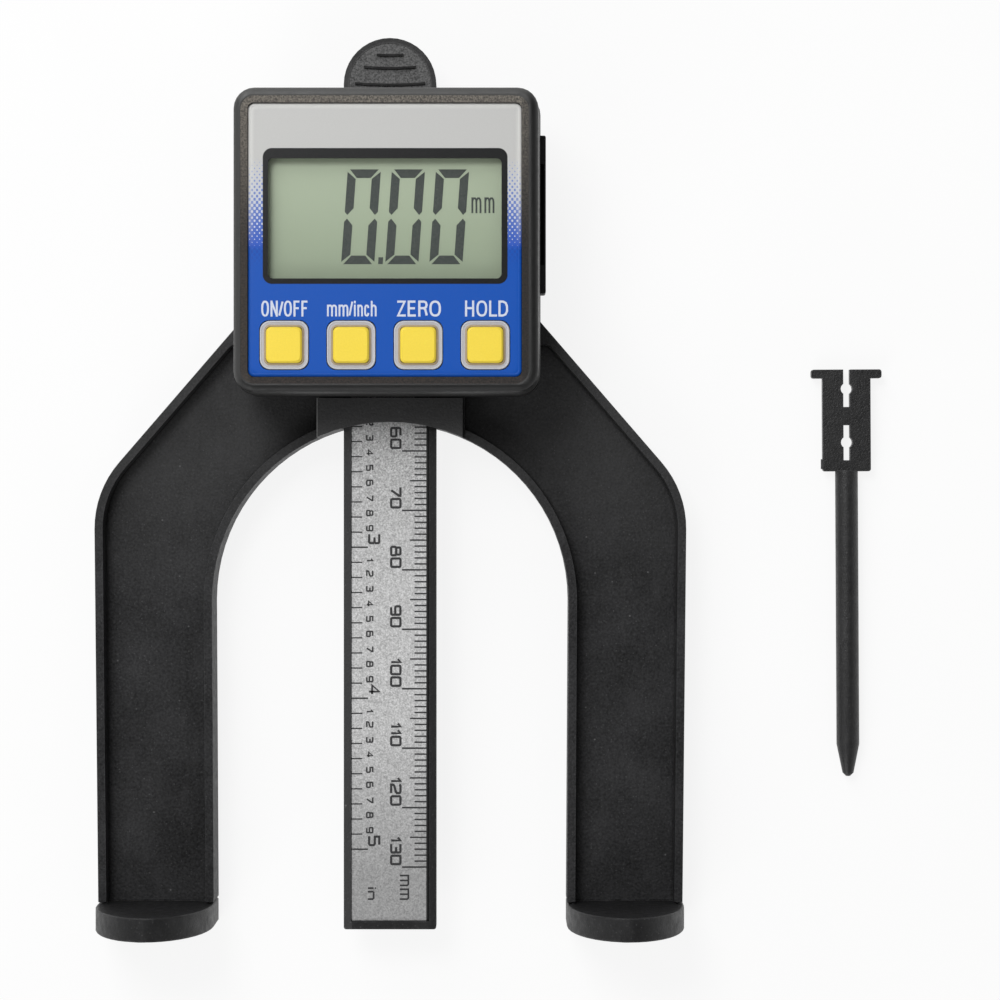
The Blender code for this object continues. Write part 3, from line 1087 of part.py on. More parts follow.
def make_depth_rod(finish):
    """The clip-on depth rod: round shaft, slotted plate, cross bar and gate mark."""
    radius = ROD_DIAMETER / 2
    place = pivot('rod_axis', (ROD_PLACE_X, ROD_TIP_HEIGHT, radius - FRAME_BACK), ROD_LEAN)
    plate_start = ROD_LENGTH - ROD_PLATE_LENGTH
    bar_start = ROD_LENGTH - ROD_BAR_WIDTH
    half = ROD_PLATE_THICKNESS / 2
    shaft = bmesh.new()
    tip = ROD_TIP_DIAMETER / 2
    profile = [
        (0, 0), (tip - ROD_TIP_ROUND, 0), (tip, ROD_TIP_ROUND), (radius, ROD_TAPER_LENGTH),
        (radius, plate_start + GLUE_LINE), (0, plate_start + GLUE_LINE)]
    add_turned(shaft, profile, (0, 0, 0), UPRIGHT.inverted(), ROUND_SIDES)
    made = body('depth_rod', shaft, finish, place)
    blade = rectangle(
        ROD_PLATE_WIDTH / 2, (bar_start - plate_start + OVERRUN) / 2, ROD_PLATE_CORNER,
        (0, (plate_start + bar_start + OVERRUN) / 2))
    join(made, plate('rod_plate', [blade], -half, half, parent=place))
    bar = rectangle(
        ROD_BAR_LENGTH / 2, ROD_BAR_WIDTH / 2, ROD_PLATE_CORNER, (0, ROD_LENGTH - ROD_BAR_WIDTH / 2))
    join(made, plate('rod_bar', [bar], -half, half, parent=place))
    start = Vector((-ROD_PLATE_WIDTH / 2, plate_start + ROD_PLATE_CORNER, 0))
    end = start + Vector((0, ROD_GATE_LENGTH, 0))
    join(made, rod('rod_gate', ROD_GATE_RISE, start, end, PIN_SIDES, parent=place))
    slot = ROD_SLOT_WIDTH / 2
    low = -radius - OVERRUN
    high = radius + OVERRUN
    for first, last in ((-OVERRUN, ROD_UPPER_SLOT_END), (ROD_LOWER_SLOT_START, ROD_LOWER_SLOT_END)):
        slot_end = (slot, ROD_LENGTH - first, high)
        cut(made, box('rod_slot', (-slot, ROD_LENGTH - last, low), slot_end, parent=place))
    for drop in (ROD_UPPER_HOLE, ROD_UPPER_HOLE + STUD_SPACING):
        y = ROD_LENGTH - drop
        radius = STUD_RADIUS + GLUE_LINE
        hole = rod('rod_hole', radius, (0, y, low), (0, y, high), SMALL_ROUND_SIDES, parent=place)
        cut(made, hole)


def clear_scene():
    for item in list(bpy.data.objects):
        bpy.data.objects.remove(item, do_unlink=True)
    for group in list(bpy.data.collections):
        bpy.data.collections.remove(group)


clear_scene()
PARTS = collection('height_gauge')
CUTTERS = collection('height_gauge_cutters')


def main():
    black = material('black_plastic', (0.030, 0.030, 0.032), 0.55)
    smooth_black = material('foot_plastic', (0.035, 0.035, 0.037), 0.42)
    head_black = material('head_plastic', (0.040, 0.039, 0.038), 0.50)
    drawer_black = material('drawer_plastic', (0.038, 0.038, 0.040), 0.45)
    silver = material('scale_silver', (0.52, 0.52, 0.52), 0.35, 0.6)
    sheet = material('face_blue', (0.030, 0.130, 0.500), 0.45)
    clear = material('clear_lens', (0.95, 0.97, 0.95), 0.05, transmission=1.0)
    lcd = material('display_glass', (0.38, 0.44, 0.31), 0.25)
    white = material('holder_plastic', (0.75, 0.75, 0.72), 0.5)
    zebra = material('zebra_rubber', (0.45, 0.12, 0.15), 0.7)
    grey = material('collar_rubber', (0.60, 0.60, 0.60), 0.6)
    yellow = material('key_yellow', (0.93, 0.72, 0.09), 0.5)
    board = material('board_green', (0.02, 0.16, 0.07), 0.45)
    epoxy = material('chip_epoxy', (0.02, 0.02, 0.02), 0.35)
    steel = material('bright_steel', (0.60, 0.60, 0.62), 0.25, 1.0)
    spring_steel = material('spring_steel', (0.50, 0.50, 0.53), 0.3, 1.0)
    zinc = material('zinc_screw', (0.55, 0.55, 0.57), 0.35, 1.0)
    nickel = material('magnet_nickel', (0.62, 0.62, 0.64), 0.2, 1.0)
    brass = material('pin_brass', (0.75, 0.58, 0.25), 0.3, 1.0)

    make_frame(black)
    make_foot('foot_left', -1, smooth_black)
    make_foot('foot_right', 1, smooth_black)
    make_foot_fittings(nickel, zinc)
    make_slide_spring(spring_steel, zinc)
    beam_axis = pivot('beam_axis', (0, 0, 0))
    make_beam(black, beam_axis)
    make_scale(silver, board, beam_axis)
    make_rear_case(head_black)
    make_front_case(head_black)
    make_face(sheet, clear, lcd, white, zebra)
    make_keypad(grey)
    for name, x in zip(('key_on_off', 'key_unit', 'key_zero', 'key_hold'), KEY_OFFSETS):
        make_key(name, x, yellow)
    make_domes(spring_steel)
    make_boards(board, epoxy, brass)
    make_case_screws(zinc)
    make_contacts(spring_steel)
    make_drawer(drawer_black, steel)
    make_depth_rod(black)
    bpy.context.view_layer.update()


main()
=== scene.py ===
"""Looks for the digital height and depth gauge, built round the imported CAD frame."""

import json
import math

import bmesh
import bpy
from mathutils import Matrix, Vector

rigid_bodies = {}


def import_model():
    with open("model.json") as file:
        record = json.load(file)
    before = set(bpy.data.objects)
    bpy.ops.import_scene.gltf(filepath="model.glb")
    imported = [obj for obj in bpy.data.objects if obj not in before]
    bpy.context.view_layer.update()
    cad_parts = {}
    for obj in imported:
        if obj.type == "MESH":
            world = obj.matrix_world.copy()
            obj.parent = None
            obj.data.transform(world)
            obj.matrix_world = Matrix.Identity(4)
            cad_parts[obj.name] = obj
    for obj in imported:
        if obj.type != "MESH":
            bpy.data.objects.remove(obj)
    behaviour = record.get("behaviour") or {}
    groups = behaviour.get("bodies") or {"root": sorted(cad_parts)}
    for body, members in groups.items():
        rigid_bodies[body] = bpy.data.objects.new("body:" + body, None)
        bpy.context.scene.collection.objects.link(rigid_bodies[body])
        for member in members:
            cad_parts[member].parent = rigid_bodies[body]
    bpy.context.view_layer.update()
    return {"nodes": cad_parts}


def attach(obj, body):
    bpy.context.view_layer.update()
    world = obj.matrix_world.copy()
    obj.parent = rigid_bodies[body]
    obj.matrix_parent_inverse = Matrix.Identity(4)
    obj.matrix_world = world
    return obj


for leftover in list(bpy.data.objects):
    bpy.data.objects.remove(leftover)

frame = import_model()
MM = 0.001

# The camera that the photo was matched with: its place, and its focal length in pixels.
CAMERA_AT = (18.5, 72.2, 491.5)
FOCAL_PIXELS = 2912.6
PHOTO_PIXELS = 1000.0
SENSOR_WIDTH = 36.0
FLOOR_TOP = -8.8

# Heights of the printed surfaces, in millimetres.
SHEET_TOP = 19.0
GLASS_TOP = 17.0
LABEL_TOP = 1.5
INK = 0.02
# How much higher each pen stroke lies than the one it crosses.
LAYER = 0.002

# The face sheet seen from the front, and the keys below its window.
SHEET_CENTRE = (-0.2, 114.4)
SHEET_HALF = (22.1, 22.1)
SHEET_CORNER = 1.0
KEY_PITCH = 10.88
KEY_ROW = 97.33

# Edges sharper than this stay sharp, and get rounded where a part asks for it.
SHARP_ANGLE = math.radians(38)
FLAT_ANGLE = math.radians(0.4)
WELD_REACH = 0.002 * MM


def photo_point(px, py, height):
    """Where a pixel of the 1000 px photo lies at a height, in millimetres."""
    reach = (CAMERA_AT[2] - height) / FOCAL_PIXELS
    middle = PHOTO_PIXELS / 2
    return CAMERA_AT[0] + (px - middle) * reach, CAMERA_AT[1] - (py - middle) * reach


def linear(red, green, blue):
    """A colour as seen on screen, from 0 to 255, as the linear values that shaders take."""
    found = []
    for value in (red, green, blue):
        share = value / 255
        found.append(share / 12.92 if share <= 0.04045 else ((share + 0.055) / 1.055) ** 2.4)
    return (*found, 1.0)


def grey(tone):
    """A neutral colour as seen on screen, from 0 to 255."""
    return linear(tone, tone, tone)


class Nodes:
    """A material's node tree, with short ways to add what the finishes here share.

    A value that a method takes is a number, a colour or another node's output.
    """

    def __init__(self, name):
        self.material = bpy.data.materials.new(name)
        self.material.use_nodes = True
        self.tree = self.material.node_tree
        self.tree.nodes.clear()
        self.output = self.tree.nodes.new("ShaderNodeOutputMaterial")
        place = self.tree.nodes.new("ShaderNodeTexCoord")
        self.place = place.outputs["Object"]
        split = self.tree.nodes.new("ShaderNodeSeparateXYZ")
        self.link(self.place, split.inputs[0])
        self.x, self.y, self.z = split.outputs

    def link(self, source, target):
        """Joins two sockets."""
        self.tree.links.new(source, target)

    def put(self, value, target):
        """Gives an input its value."""
        if isinstance(value, bpy.types.NodeSocket):
            self.link(value, target)
        else:
            target.default_value = value

    def math(self, kind, *values, clamp=False):
        """One Math node."""
        node = self.tree.nodes.new("ShaderNodeMath")
        node.operation = kind
        node.use_clamp = clamp
        for value, target in zip(values, node.inputs):
            self.put(value, target)
        return node.outputs[0]

    def times(self, *values):
        """The product of two or more values."""
        found = values[0]
        for value in values[1:]:
            found = self.math("MULTIPLY", found, value)
        return found

    def span(self, value, low, high, to_low=0.0, to_high=1.0, smooth=False):
        """Maps a value from one range to another, held at both ends."""
        node = self.tree.nodes.new("ShaderNodeMapRange")
        node.interpolation_type = "SMOOTHSTEP" if smooth else "LINEAR"
        for given, target in zip((value, low, high, to_low, to_high), node.inputs):
            self.put(given, target)
        return node.outputs[0]

    def mix(self, share, first, second):
        """Mixes two colours."""
        node = self.tree.nodes.new("ShaderNodeMix")
        node.data_type = "RGBA"
        self.put(share, node.inputs[0])
        self.put(first, node.inputs[6])
        self.put(second, node.inputs[7])
        return node.outputs[2]

    def stretched(self, size):
        """The object's own place, measured in a grain of so many millimetres along each axis."""
        node = self.tree.nodes.new("ShaderNodeVectorMath")
        node.operation = "DIVIDE"
        self.put(self.place, node.inputs[0])
        node.inputs[1].default_value = [s * MM for s in size]
        return node.outputs[0]

    def texture(self, kind, size):
        """A texture node laid on the object, with its grain in millimetres along each axis."""
        node = self.tree.nodes.new(kind)
        self.link(self.stretched(size), node.inputs["Vector"])
        node.inputs["Scale"].default_value = 1.0
        return node

    def noise(self, grain, detail=2.0, rough=0.5, spread=None):
        """Noise whose grain is so many millimetres, or a size for each axis."""
        sizes = grain if isinstance(grain, tuple) else (grain, grain, grain)
        node = self.texture("ShaderNodeTexNoise", sizes)
        node.inputs["Detail"].default_value = detail
        node.inputs["Roughness"].default_value = rough
        value = node.outputs["Fac"]
        return self.span(value, *spread) if spread else value

    def cells(self, grain):
        """Small cells, as a distance from each cell's middle."""
        return self.texture("ShaderNodeTexVoronoi", (grain, grain, grain)).outputs["Distance"]

    def specks(self, grain, share, size):
        """Scattered specks: a share of the cells of a grain, each as large as size cells."""
        node = self.texture("ShaderNodeTexVoronoi", (grain, grain, grain))
        split = self.tree.nodes.new("ShaderNodeSeparateColor")
        self.link(node.outputs["Color"], split.inputs[0])
        chosen = self.math("LESS_THAN", split.outputs[0], share)
        near = self.span(node.outputs["Distance"], size, size * 0.5)
        return self.times(chosen, near, split.outputs[1])

    def creases(self, reach):
        """1 in the inner corners of a part, fading out within a reach in millimetres of them."""
        open_share, closed_share = 0.78, 0.56
        node = self.tree.nodes.new("ShaderNodeAmbientOcclusion")
        node.samples = 6
        node.only_local = True
        node.inputs["Distance"].default_value = reach * MM
        return self.span(node.outputs["AO"], open_share, closed_share)

    def edges(self, reach):
        """Nearly 1 on sharp edges, and 0 a reach in millimetres away from them."""
        flat_cosine, edge_cosine = 0.995, 0.8
        node = self.tree.nodes.new("ShaderNodeBevel")
        node.samples = 4
        node.inputs["Radius"].default_value = reach * MM
        plain = self.tree.nodes.new("ShaderNodeNewGeometry")
        turn = self.tree.nodes.new("ShaderNodeVectorMath")
        turn.operation = "DOT_PRODUCT"
        self.link(node.outputs[0], turn.inputs[0])
        self.link(plain.outputs["Normal"], turn.inputs[1])
        return self.span(turn.outputs["Value"], flat_cosine, edge_cosine)

    def bump(self, height, depth):
        """A bump whose full depth is in millimetres."""
        node = self.tree.nodes.new("ShaderNodeBump")
        node.inputs["Strength"].default_value = 1.0
        node.inputs["Distance"].default_value = depth * MM
        self.link(height, node.inputs["Height"])
        return node.outputs[0]

    def surface(self, colour, roughness, normal, **fixed):
        """A Principled surface. The fixed values go on its own sockets."""
        node = self.tree.nodes.new("ShaderNodeBsdfPrincipled")
        self.put(colour, node.inputs["Base Color"])
        self.put(roughness, node.inputs["Roughness"])
        for name, value in fixed.items():
            node.inputs[name.replace("_", " ")].default_value = value
        self.link(normal, node.inputs["Normal"])
        self.link(node.outputs[0], self.output.inputs[0])
        return self.material

    def rounded_box(self, centre, half, radius):
        """Distance outside a rounded rectangle seen from the front, in millimetres."""
        sides = []
        for axis, middle, reach in ((self.x, centre[0], half[0]), (self.y, centre[1], half[1])):
            away = self.math("ABSOLUTE", self.math("SUBTRACT", axis, middle * MM))
            sides.append(self.math("SUBTRACT", away, (reach - radius) * MM))
        outer = [self.math("MAXIMUM", side, 0.0) for side in sides]
        squares = [self.times(side, side) for side in outer]
        corner = self.math("SQRT", self.math("ADD", *squares))
        inner = self.math("MINIMUM", self.math("MAXIMUM", *sides), 0.0)
        whole = self.math("ADD", corner, inner)
        return self.math("SUBTRACT", self.times(whole, 1 / MM), radius)


def moulded(name, colour, grain=0.34, depth=0.02, rough=0.5, shine=0.35, uneven=0.16, worn=0.0,
            dusty=0.0, flecks=0.5, band=None):
    """Moulded plastic with a fine grain, faint flow shading, dust and rubbed edges."""
    n = Nodes(name)
    fine = n.noise(grain, 3.0, 0.65, (0.3, 0.7))
    broad = n.noise(9.0, 2.0, 0.5, (0.3, 0.7))
    shade = n.math("ADD", n.times(fine, 0.65), n.times(broad, 0.35))
    low = tuple(c * (1 - uneven) for c in colour[:3]) + (1.0,)
    high = tuple(min(1.0, c * (1 + uneven) + 0.0004) for c in colour[:3]) + (1.0,)
    tone = n.mix(shade, low, high)
    pale = tuple(min(1.0, c * 1.6 + 0.012) for c in colour[:3]) + (1.0,)
    dust = n.noise(0.7, 1.0, 0.5, (0.66, 0.78))
    tone = n.mix(n.times(dust, flecks), tone, pale)
    rub = 0.0
    if worn:
        streaks = n.noise((2.6, 7.0, 2.6), 4.0, 0.7, (0.5, 0.74))
        rub = n.times(streaks, worn)
        tone = n.mix(rub, tone, pale)
        scuffed = n.times(n.edges(0.35), n.noise(1.6, 3.0, 0.7, (0.35, 0.6)))
        tone = n.mix(n.times(scuffed, worn), tone, linear(92, 92, 94))
    if dusty:
        tone = n.mix(n.times(n.specks(0.42, 0.22, 0.34), dusty), tone, linear(128, 128, 130))
        tone = n.mix(n.times(n.specks(1.5, 0.14, 0.13), dusty), tone, grey(190))
    patchy = n.span(n.noise(1.3, 2.0), 0.3, 0.7, rough - 0.07, rough + 0.07)
    dull = n.math("ADD", patchy, n.times(rub, -0.1))
    if band:
        tone, dull = band(n, tone, dull, fine)
    pits = n.math("ADD", n.times(n.cells(grain * 1.1), 0.45), fine)
    return n.surface(tone, dull, n.bump(pits, depth), Specular_IOR_Level=shine)


def bezel_band(n, tone, dull, fine):
    """The slope round the face sheet: paler, browner and duller, with painted light above and left
    and painted shade at right and below.
    """
    inner_side, outer_side = 0.0218, 0.0224
    away = n.rounded_box(SHEET_CENTRE, SHEET_HALF, SHEET_CORNER)
    across = n.times(n.span(away, 0.05, 0.2), n.span(away, 1.32, 1.18), n.span(n.z, 0.0192, 0.0193))
    patchy = n.noise((0.32, 0.32, 4.0), 2.0, 0.6, (0.36, 0.64))
    # Painted light: the band's colours grow paler towards the top.
    upper = n.span(n.y, 0.112, 0.1372, smooth=True)
    low = n.mix(upper, linear(12, 10, 9), linear(66, 63, 60))
    high = n.mix(upper, linear(54, 45, 41), linear(138, 132, 122))
    brown = n.mix(patchy, low, high)
    brown = n.mix(n.times(fine, 0.5), brown, low)
    # Painted shade: the band darkens on its right side.
    right = n.span(n.x, inner_side, outer_side, 0.0, 0.5)
    brown = n.mix(right, brown, linear(10, 9, 8))
    # Painted light: the band pales on its left side.
    left = n.span(n.x, -inner_side, -outer_side, 0.0, 0.13)
    brown = n.mix(left, brown, linear(120, 114, 106))
    crest = n.span(n.z, 0.0176, 0.0194, smooth=True)
    # Painted highlight on the crest along the top and the left side.
    painted_light_crest = n.math("MAXIMUM", n.span(n.y, 0.1364, 0.1374, 0.0, 0.56),
                     n.span(n.x, -0.0232, -0.0242, 0.0, 0.34))
    tone = n.mix(n.times(crest, painted_light_crest), tone, linear(84, 84, 83))
    # Painted shade on the crest along the right side and the bottom.
    painted_shade_crest = n.math("MAXIMUM", n.span(n.x, 0.0226, 0.0238, 0.0, 0.9),
                   n.span(n.y, 0.0918, 0.0906, 0.0, 0.9))
    tone = n.mix(n.times(crest, painted_shade_crest), tone, grey(6))
    duller = n.times(across, n.math("SUBTRACT", 0.75, dull))
    return n.mix(across, tone, brown), n.math("ADD", dull, duller)


def frame_band(n, tone, dull, fine):
    """The frame: painted light on the head end and the bridge, a painted highlight along the
    bridge's left edge, and painted shade in the inner corners.
    """
    # Painted light: paler towards the head end.
    upper = n.times(n.span(n.y, 0.05, 0.085, smooth=True), 0.4)
    tone = n.mix(upper, tone, grey(64))
    # Painted light on the bridge, weaker near the head.
    bridge = n.times(n.math("LESS_THAN", n.math("ABSOLUTE", n.x), 0.0122),
                     n.span(n.y, 0.0895, 0.0835, 0.1, 0.45))
    tone = n.mix(bridge, tone, grey(84))
    # Painted highlight along the bridge block's left edge.
    highlight_place, highlight_half, highlight_from, highlight_to = 0.01212, 0.00009, 0.0825, 0.0905
    beside = n.math("ABSOLUTE", n.math("ADD", n.x, highlight_place))
    line = n.times(n.math("LESS_THAN", beside, highlight_half),
                   n.math("GREATER_THAN", n.y, highlight_from), n.math("LESS_THAN", n.y, highlight_to))
    tone = n.mix(n.times(line, 0.6), tone, grey(130))
    # Painted shade in the inner corners.
    return n.mix(n.times(n.creases(0.9), 0.8), tone, grey(4)), dull


def beam_band(n, tone, dull, fine):
    """The beam: a sandy grip tab with near-black ridges, a paler left border, and painted shade
    along the right border.
    """
    border, tab_centre, tab_start = 0.0064, 0.142125, 0.1405
    right = n.math("GREATER_THAN", n.x, border)
    left = n.times(n.math("LESS_THAN", n.x, -border), n.span(n.z, 0.0012, 0.0016))
    tone = n.mix(n.times(left, 0.16), tone, linear(110, 110, 111))
    # Painted shade along the right border, beside the foil's edge.
    tone = n.mix(n.times(right, 0.4), tone, grey(12))
    along = n.math("SUBTRACT", n.y, tab_centre)
    away = n.math("SQRT", n.math("ADD", n.math("POWER", n.x, 2.0), n.math("POWER", along, 2.0)))
    tab = n.times(n.span(n.y, tab_start, tab_start + 0.0004), n.math("GREATER_THAN", n.z, 0.0015))
    grip = n.times(n.span(away, 0.0071, 0.0067), tab)
    sand = n.noise(0.3, 2.0, 0.6, (0.3, 0.7))
    tone = n.mix(n.times(tab, 0.35), tone, grey(70))
    tone = n.mix(grip, tone, n.mix(sand, grey(52), grey(112)))
    ridge = n.times(n.math("GREATER_THAN", n.z, 0.00192), tab)
    tone = n.mix(ridge, tone, grey(10))
    return tone, n.math("ADD", dull, n.times(tab, 0.12))


def metal(name, colour, rough=0.3, brushed=(0.12, 3.0, 0.12), depth=0.004):
    """Plated or rolled metal, with lines along it and faint stains."""
    n = Nodes(name)
    lines = n.noise(brushed, 3.0, 0.6, (0.3, 0.7))
    stain = n.noise(2.4, 3.0, 0.6, (0.42, 0.75))
    worn = tuple(c * 0.9 for c in colour[:3]) + (1.0,)
    stained = tuple(c * 0.72 for c in colour[:3]) + (1.0,)
    tone = n.mix(n.times(stain, 0.6), n.mix(lines, colour, worn), stained)
    dull = n.math("ADD", n.span(lines, 0.0, 1.0, rough - 0.06, rough + 0.06), n.times(stain, 0.14))
    return n.surface(tone, dull, n.bump(lines, depth), Metallic=1.0)


def circuit_board(name, mask, track):
    """Green solder mask with the copper tracks showing through as a paler pattern."""
    n = Nodes(name)
    weave = n.noise(0.5, 2.0, 0.5, (0.35, 0.65))
    brick = n.texture("ShaderNodeTexBrick", (1.0, 1.0, 1.0))
    for socket, value in (("Scale", 0.5), ("Mortar Size", 0.16), ("Brick Width", 1.7),
                          ("Row Height", 0.9)):
        brick.inputs[socket].default_value = value
    brick.inputs["Color1"].default_value = track
    brick.inputs["Color2"].default_value = tuple(c * 1.2 for c in track[:3]) + (1.0,)
    brick.inputs["Mortar"].default_value = mask
    tone = n.mix(n.times(weave, 0.3), brick.outputs["Color"], mask)
    raised = n.math("SUBTRACT", 1.0, brick.outputs["Fac"])
    dull = n.span(weave, 0.0, 1.0, 0.3, 0.45)
    return n.surface(tone, dull, n.bump(raised, 0.03), Specular_IOR_Level=0.5)


def printed_face():
    """The face label: bare grey above, solid blue below, a halftone between them, and a painted
    highlight round the grey part's edge.
    """
    n = Nodes("face_print")
    x_mm = n.times(n.x, 1 / MM)
    y_mm = n.times(n.y, 1 / MM)
    start, full, fade = (photo_point(500, row, SHEET_TOP)[1] for row in (158, 247, 268))
    across = n.math("COSINE", n.times(x_mm, 2 * math.pi / 0.82))
    down = n.math("COSINE", n.times(y_mm, math.pi / 0.5))
    wave = n.times(across, down)
    cover = n.span(y_mm, start, full)
    level = n.math("SUBTRACT", 1.0, n.times(cover, 2.0))
    dots = n.span(n.math("SUBTRACT", wave, level), -0.08, 0.08)
    plain = linear(192, 192, 190)
    bare = n.mix(cover, plain, linear(204, 209, 224))
    printed = n.mix(cover, linear(140, 158, 200), linear(38, 84, 186))
    deep = n.times(n.span(wave, -0.2, 0.5), n.span(y_mm, full, fade, 0.55, 0.0))
    blue = n.mix(deep, linear(4, 80, 177), linear(24, 58, 150))
    tone = n.mix(n.span(y_mm, full + 0.5, full - 0.5), n.mix(dots, bare, printed), blue)
    tone = n.mix(n.span(y_mm, start, start - 0.05), plain, tone)
    # Painted highlight: the grey part pales near the sheet's edge.
    rim = n.span(n.rounded_box(SHEET_CENTRE, SHEET_HALF, SHEET_CORNER), -1.1, -0.1, smooth=True)
    rim = n.times(rim, n.span(y_mm, full, start, 0.0, 0.6))
    tone = n.mix(rim, tone, linear(226, 226, 222))
    left, top = photo_point(262.7, 148, SHEET_TOP)
    right, bottom = photo_point(507.6, 283.9, SHEET_TOP)
    window = n.rounded_box(((left + right) / 2, (top + bottom) / 2),
                           ((right - left) / 2, (top - bottom) / 2), 1.5)
    tone = n.mix(n.span(window, -0.04, 0.04, 1.0, 0.0), tone, linear(9, 10, 11))
    speck = n.noise(0.16, 2.0, 0.6, (0.3, 0.7))
    tone = n.mix(n.times(speck, 0.05), tone, linear(90, 92, 96))
    peel = n.noise(0.6, 2.0, 0.5)
    dull = n.span(speck, 0.0, 1.0, 0.3, 0.42)
    return n.surface(tone, dull, n.bump(peel, 0.006), Specular_IOR_Level=0.25)


def silver_label():
    """The scale's blasted metal foil, with its fine sparkle and a few rubs, painted shade near the
    head, a painted fall-off of its sheen towards the tip, and a dark right edge.
    """
    n = Nodes("scale_foil")
    foil_edge = 0.00607
    grit = n.noise(0.27, 3.0, 0.75, (0.3, 0.7))
    broad = n.noise(7.0, 2.0, 0.5, (0.3, 0.7))
    rubs = n.noise((0.16, 9.0, 0.16), 3.0, 0.6, (0.62, 0.72))
    # Painted shade near the head: the grain's dark end darkens from 62 mm up to 88 mm.
    lower = n.mix(n.span(n.y, 0.088, 0.062), grey(58), grey(138))
    tone = n.mix(grit, lower, grey(235))
    tone = n.mix(n.times(broad, 0.18), tone, grey(205))
    tone = n.mix(n.times(rubs, 0.2), tone, grey(228))
    # Painted fall-off of the sheen: darker towards the tip.
    tone = n.mix(n.span(n.y, 0.034, 0.008, 0.0, 0.5), tone, grey(110))
    # Past foil_edge the foil is dark: the beam's black where the foil stops short, and painted
    # shade of the recess's edge.
    tone = n.mix(n.span(n.x, foil_edge, foil_edge + 0.00005), tone, grey(22))
    return n.surface(tone, n.span(grit, 0.0, 1.0, 0.42, 0.6), n.bump(grit, 0.012), Metallic=0.35)


def display_face():
    """The display's grey-green reflector under its glass, a little paler towards the top."""
    n = Nodes("display_grey")
    rise = n.span(n.y, 0.1075, 0.1285, smooth=True)
    cloud = n.noise(11.0, 2.0, 0.5, (0.3, 0.7))
    speck = n.noise(0.22, 2.0, 0.6, (0.3, 0.7))
    tone = n.mix(rise, linear(154, 166, 142), linear(176, 187, 163))
    tone = n.mix(n.times(cloud, 0.16), tone, linear(166, 179, 160))
    tone = n.mix(n.times(speck, 0.07), tone, linear(120, 135, 115))
    dull = n.span(speck, 0.0, 1.0, 0.34, 0.46)
    return n.surface(tone, dull, n.bump(speck, 0.003), Specular_IOR_Level=0.4)


def window_glass():
    """The clear window: it lets the display through and mirrors a little, more at a slant."""
    n = Nodes("window_clear")
    smear = n.noise((4.0, 9.0, 4.0), 3.0, 0.6, (0.4, 0.75))
    clear = n.tree.nodes.new("ShaderNodeBsdfTransparent")
    clear.inputs["Color"].default_value = (0.99, 0.995, 0.99, 1.0)
    gloss = n.tree.nodes.new("ShaderNodeBsdfGlossy")
    n.link(n.span(smear, 0.0, 1.0, 0.03, 0.12), gloss.inputs["Roughness"])
    n.link(n.bump(smear, 0.004), gloss.inputs["Normal"])
    slant = n.tree.nodes.new("ShaderNodeLayerWeight")
    slant.inputs["Blend"].default_value = 0.5
    grazing = n.math("POWER", slant.outputs["Facing"], 5.0)
    mirrored = n.math("ADD", n.times(grazing, 0.5), 0.02)
    both = n.tree.nodes.new("ShaderNodeMixShader")
    n.link(mirrored, both.inputs[0])
    n.link(clear.outputs[0], both.inputs[1])
    n.link(gloss.outputs[0], both.inputs[2])
    n.link(both.outputs[0], n.output.inputs[0])
    return n.material


def ink(name, colour, rough=0.5, thin=0.28):
    """Screen-printed ink, thin enough to show a little of the grain under it."""
    n = Nodes(name)
    grit = n.noise(0.15, 2.0, 0.6, (0.3, 0.7))
    worn = n.noise(0.5, 3.0, 0.7, (0.62, 0.78))
    pale = tuple(c + (0.55 - c) * thin for c in colour[:3]) + (1.0,)
    tone = n.mix(n.times(grit, 0.35), colour, pale)
    tone = n.mix(n.times(worn, 0.5), tone, pale)
    return n.surface(tone, n.span(grit, 0.0, 1.0, rough - 0.08, rough + 0.1), n.bump(grit, 0.006))


def smoothing_group():
    """Shades smooth, with edges sharper than SHARP_ANGLE kept sharp."""
    group = bpy.data.node_groups.new("smooth_shading", "GeometryNodeTree")
    group.interface.new_socket("Geometry", in_out="INPUT", socket_type="NodeSocketGeometry")
    group.interface.new_socket("Geometry", in_out="OUTPUT", socket_type="NodeSocketGeometry")
    start = group.nodes.new("NodeGroupInput")
    end = group.nodes.new("NodeGroupOutput")
    angle = group.nodes.new("GeometryNodeInputMeshEdgeAngle")
    flat = group.nodes.new("FunctionNodeCompare")
    flat.operation = "LESS_THAN"
    flat.inputs[1].default_value = SHARP_ANGLE
    faces = group.nodes.new("GeometryNodeSetShadeSmooth")
    faces.domain = "FACE"
    edges = group.nodes.new("GeometryNodeSetShadeSmooth")
    edges.domain = "EDGE"
    group.links.new(angle.outputs[0], flat.inputs[0])
    group.links.new(start.outputs[0], faces.inputs[0])
    group.links.new(faces.outputs[0], edges.inputs[0])
    group.links.new(flat.outputs[0], edges.inputs["Shade Smooth"])
    group.links.new(edges.outputs[0], end.inputs[0])
    return group


SMOOTH = smoothing_group()


def dress(names, material, edge=0.0, steps=2):
    """Gives CAD nodes their finish, and rounds their edges by so many millimetres."""
    for name in names:
        node = frame["nodes"][name]
        for place in node.material_slots:
            place.material = material
        weld = node.modifiers.new("weld", "WELD")
        weld.merge_threshold = WELD_REACH
        if edge:
            flat = node.modifiers.new("flat_faces", "DECIMATE")
            flat.decimate_type = "DISSOLVE"
            flat.angle_limit = FLAT_ANGLE
            round_off = node.modifiers.new("edges", "BEVEL")
            round_off.limit_method = "ANGLE"
            round_off.angle_limit = SHARP_ANGLE
            round_off.width = edge * MM
            round_off.segments = steps
            round_off.use_clamp_overlap = True
        smooth = node.modifiers.new("smooth", "NODES")
        smooth.node_group = SMOOTH
        even = node.modifiers.new("even_shading", "WEIGHTED_NORMAL")
        even.keep_sharp = True


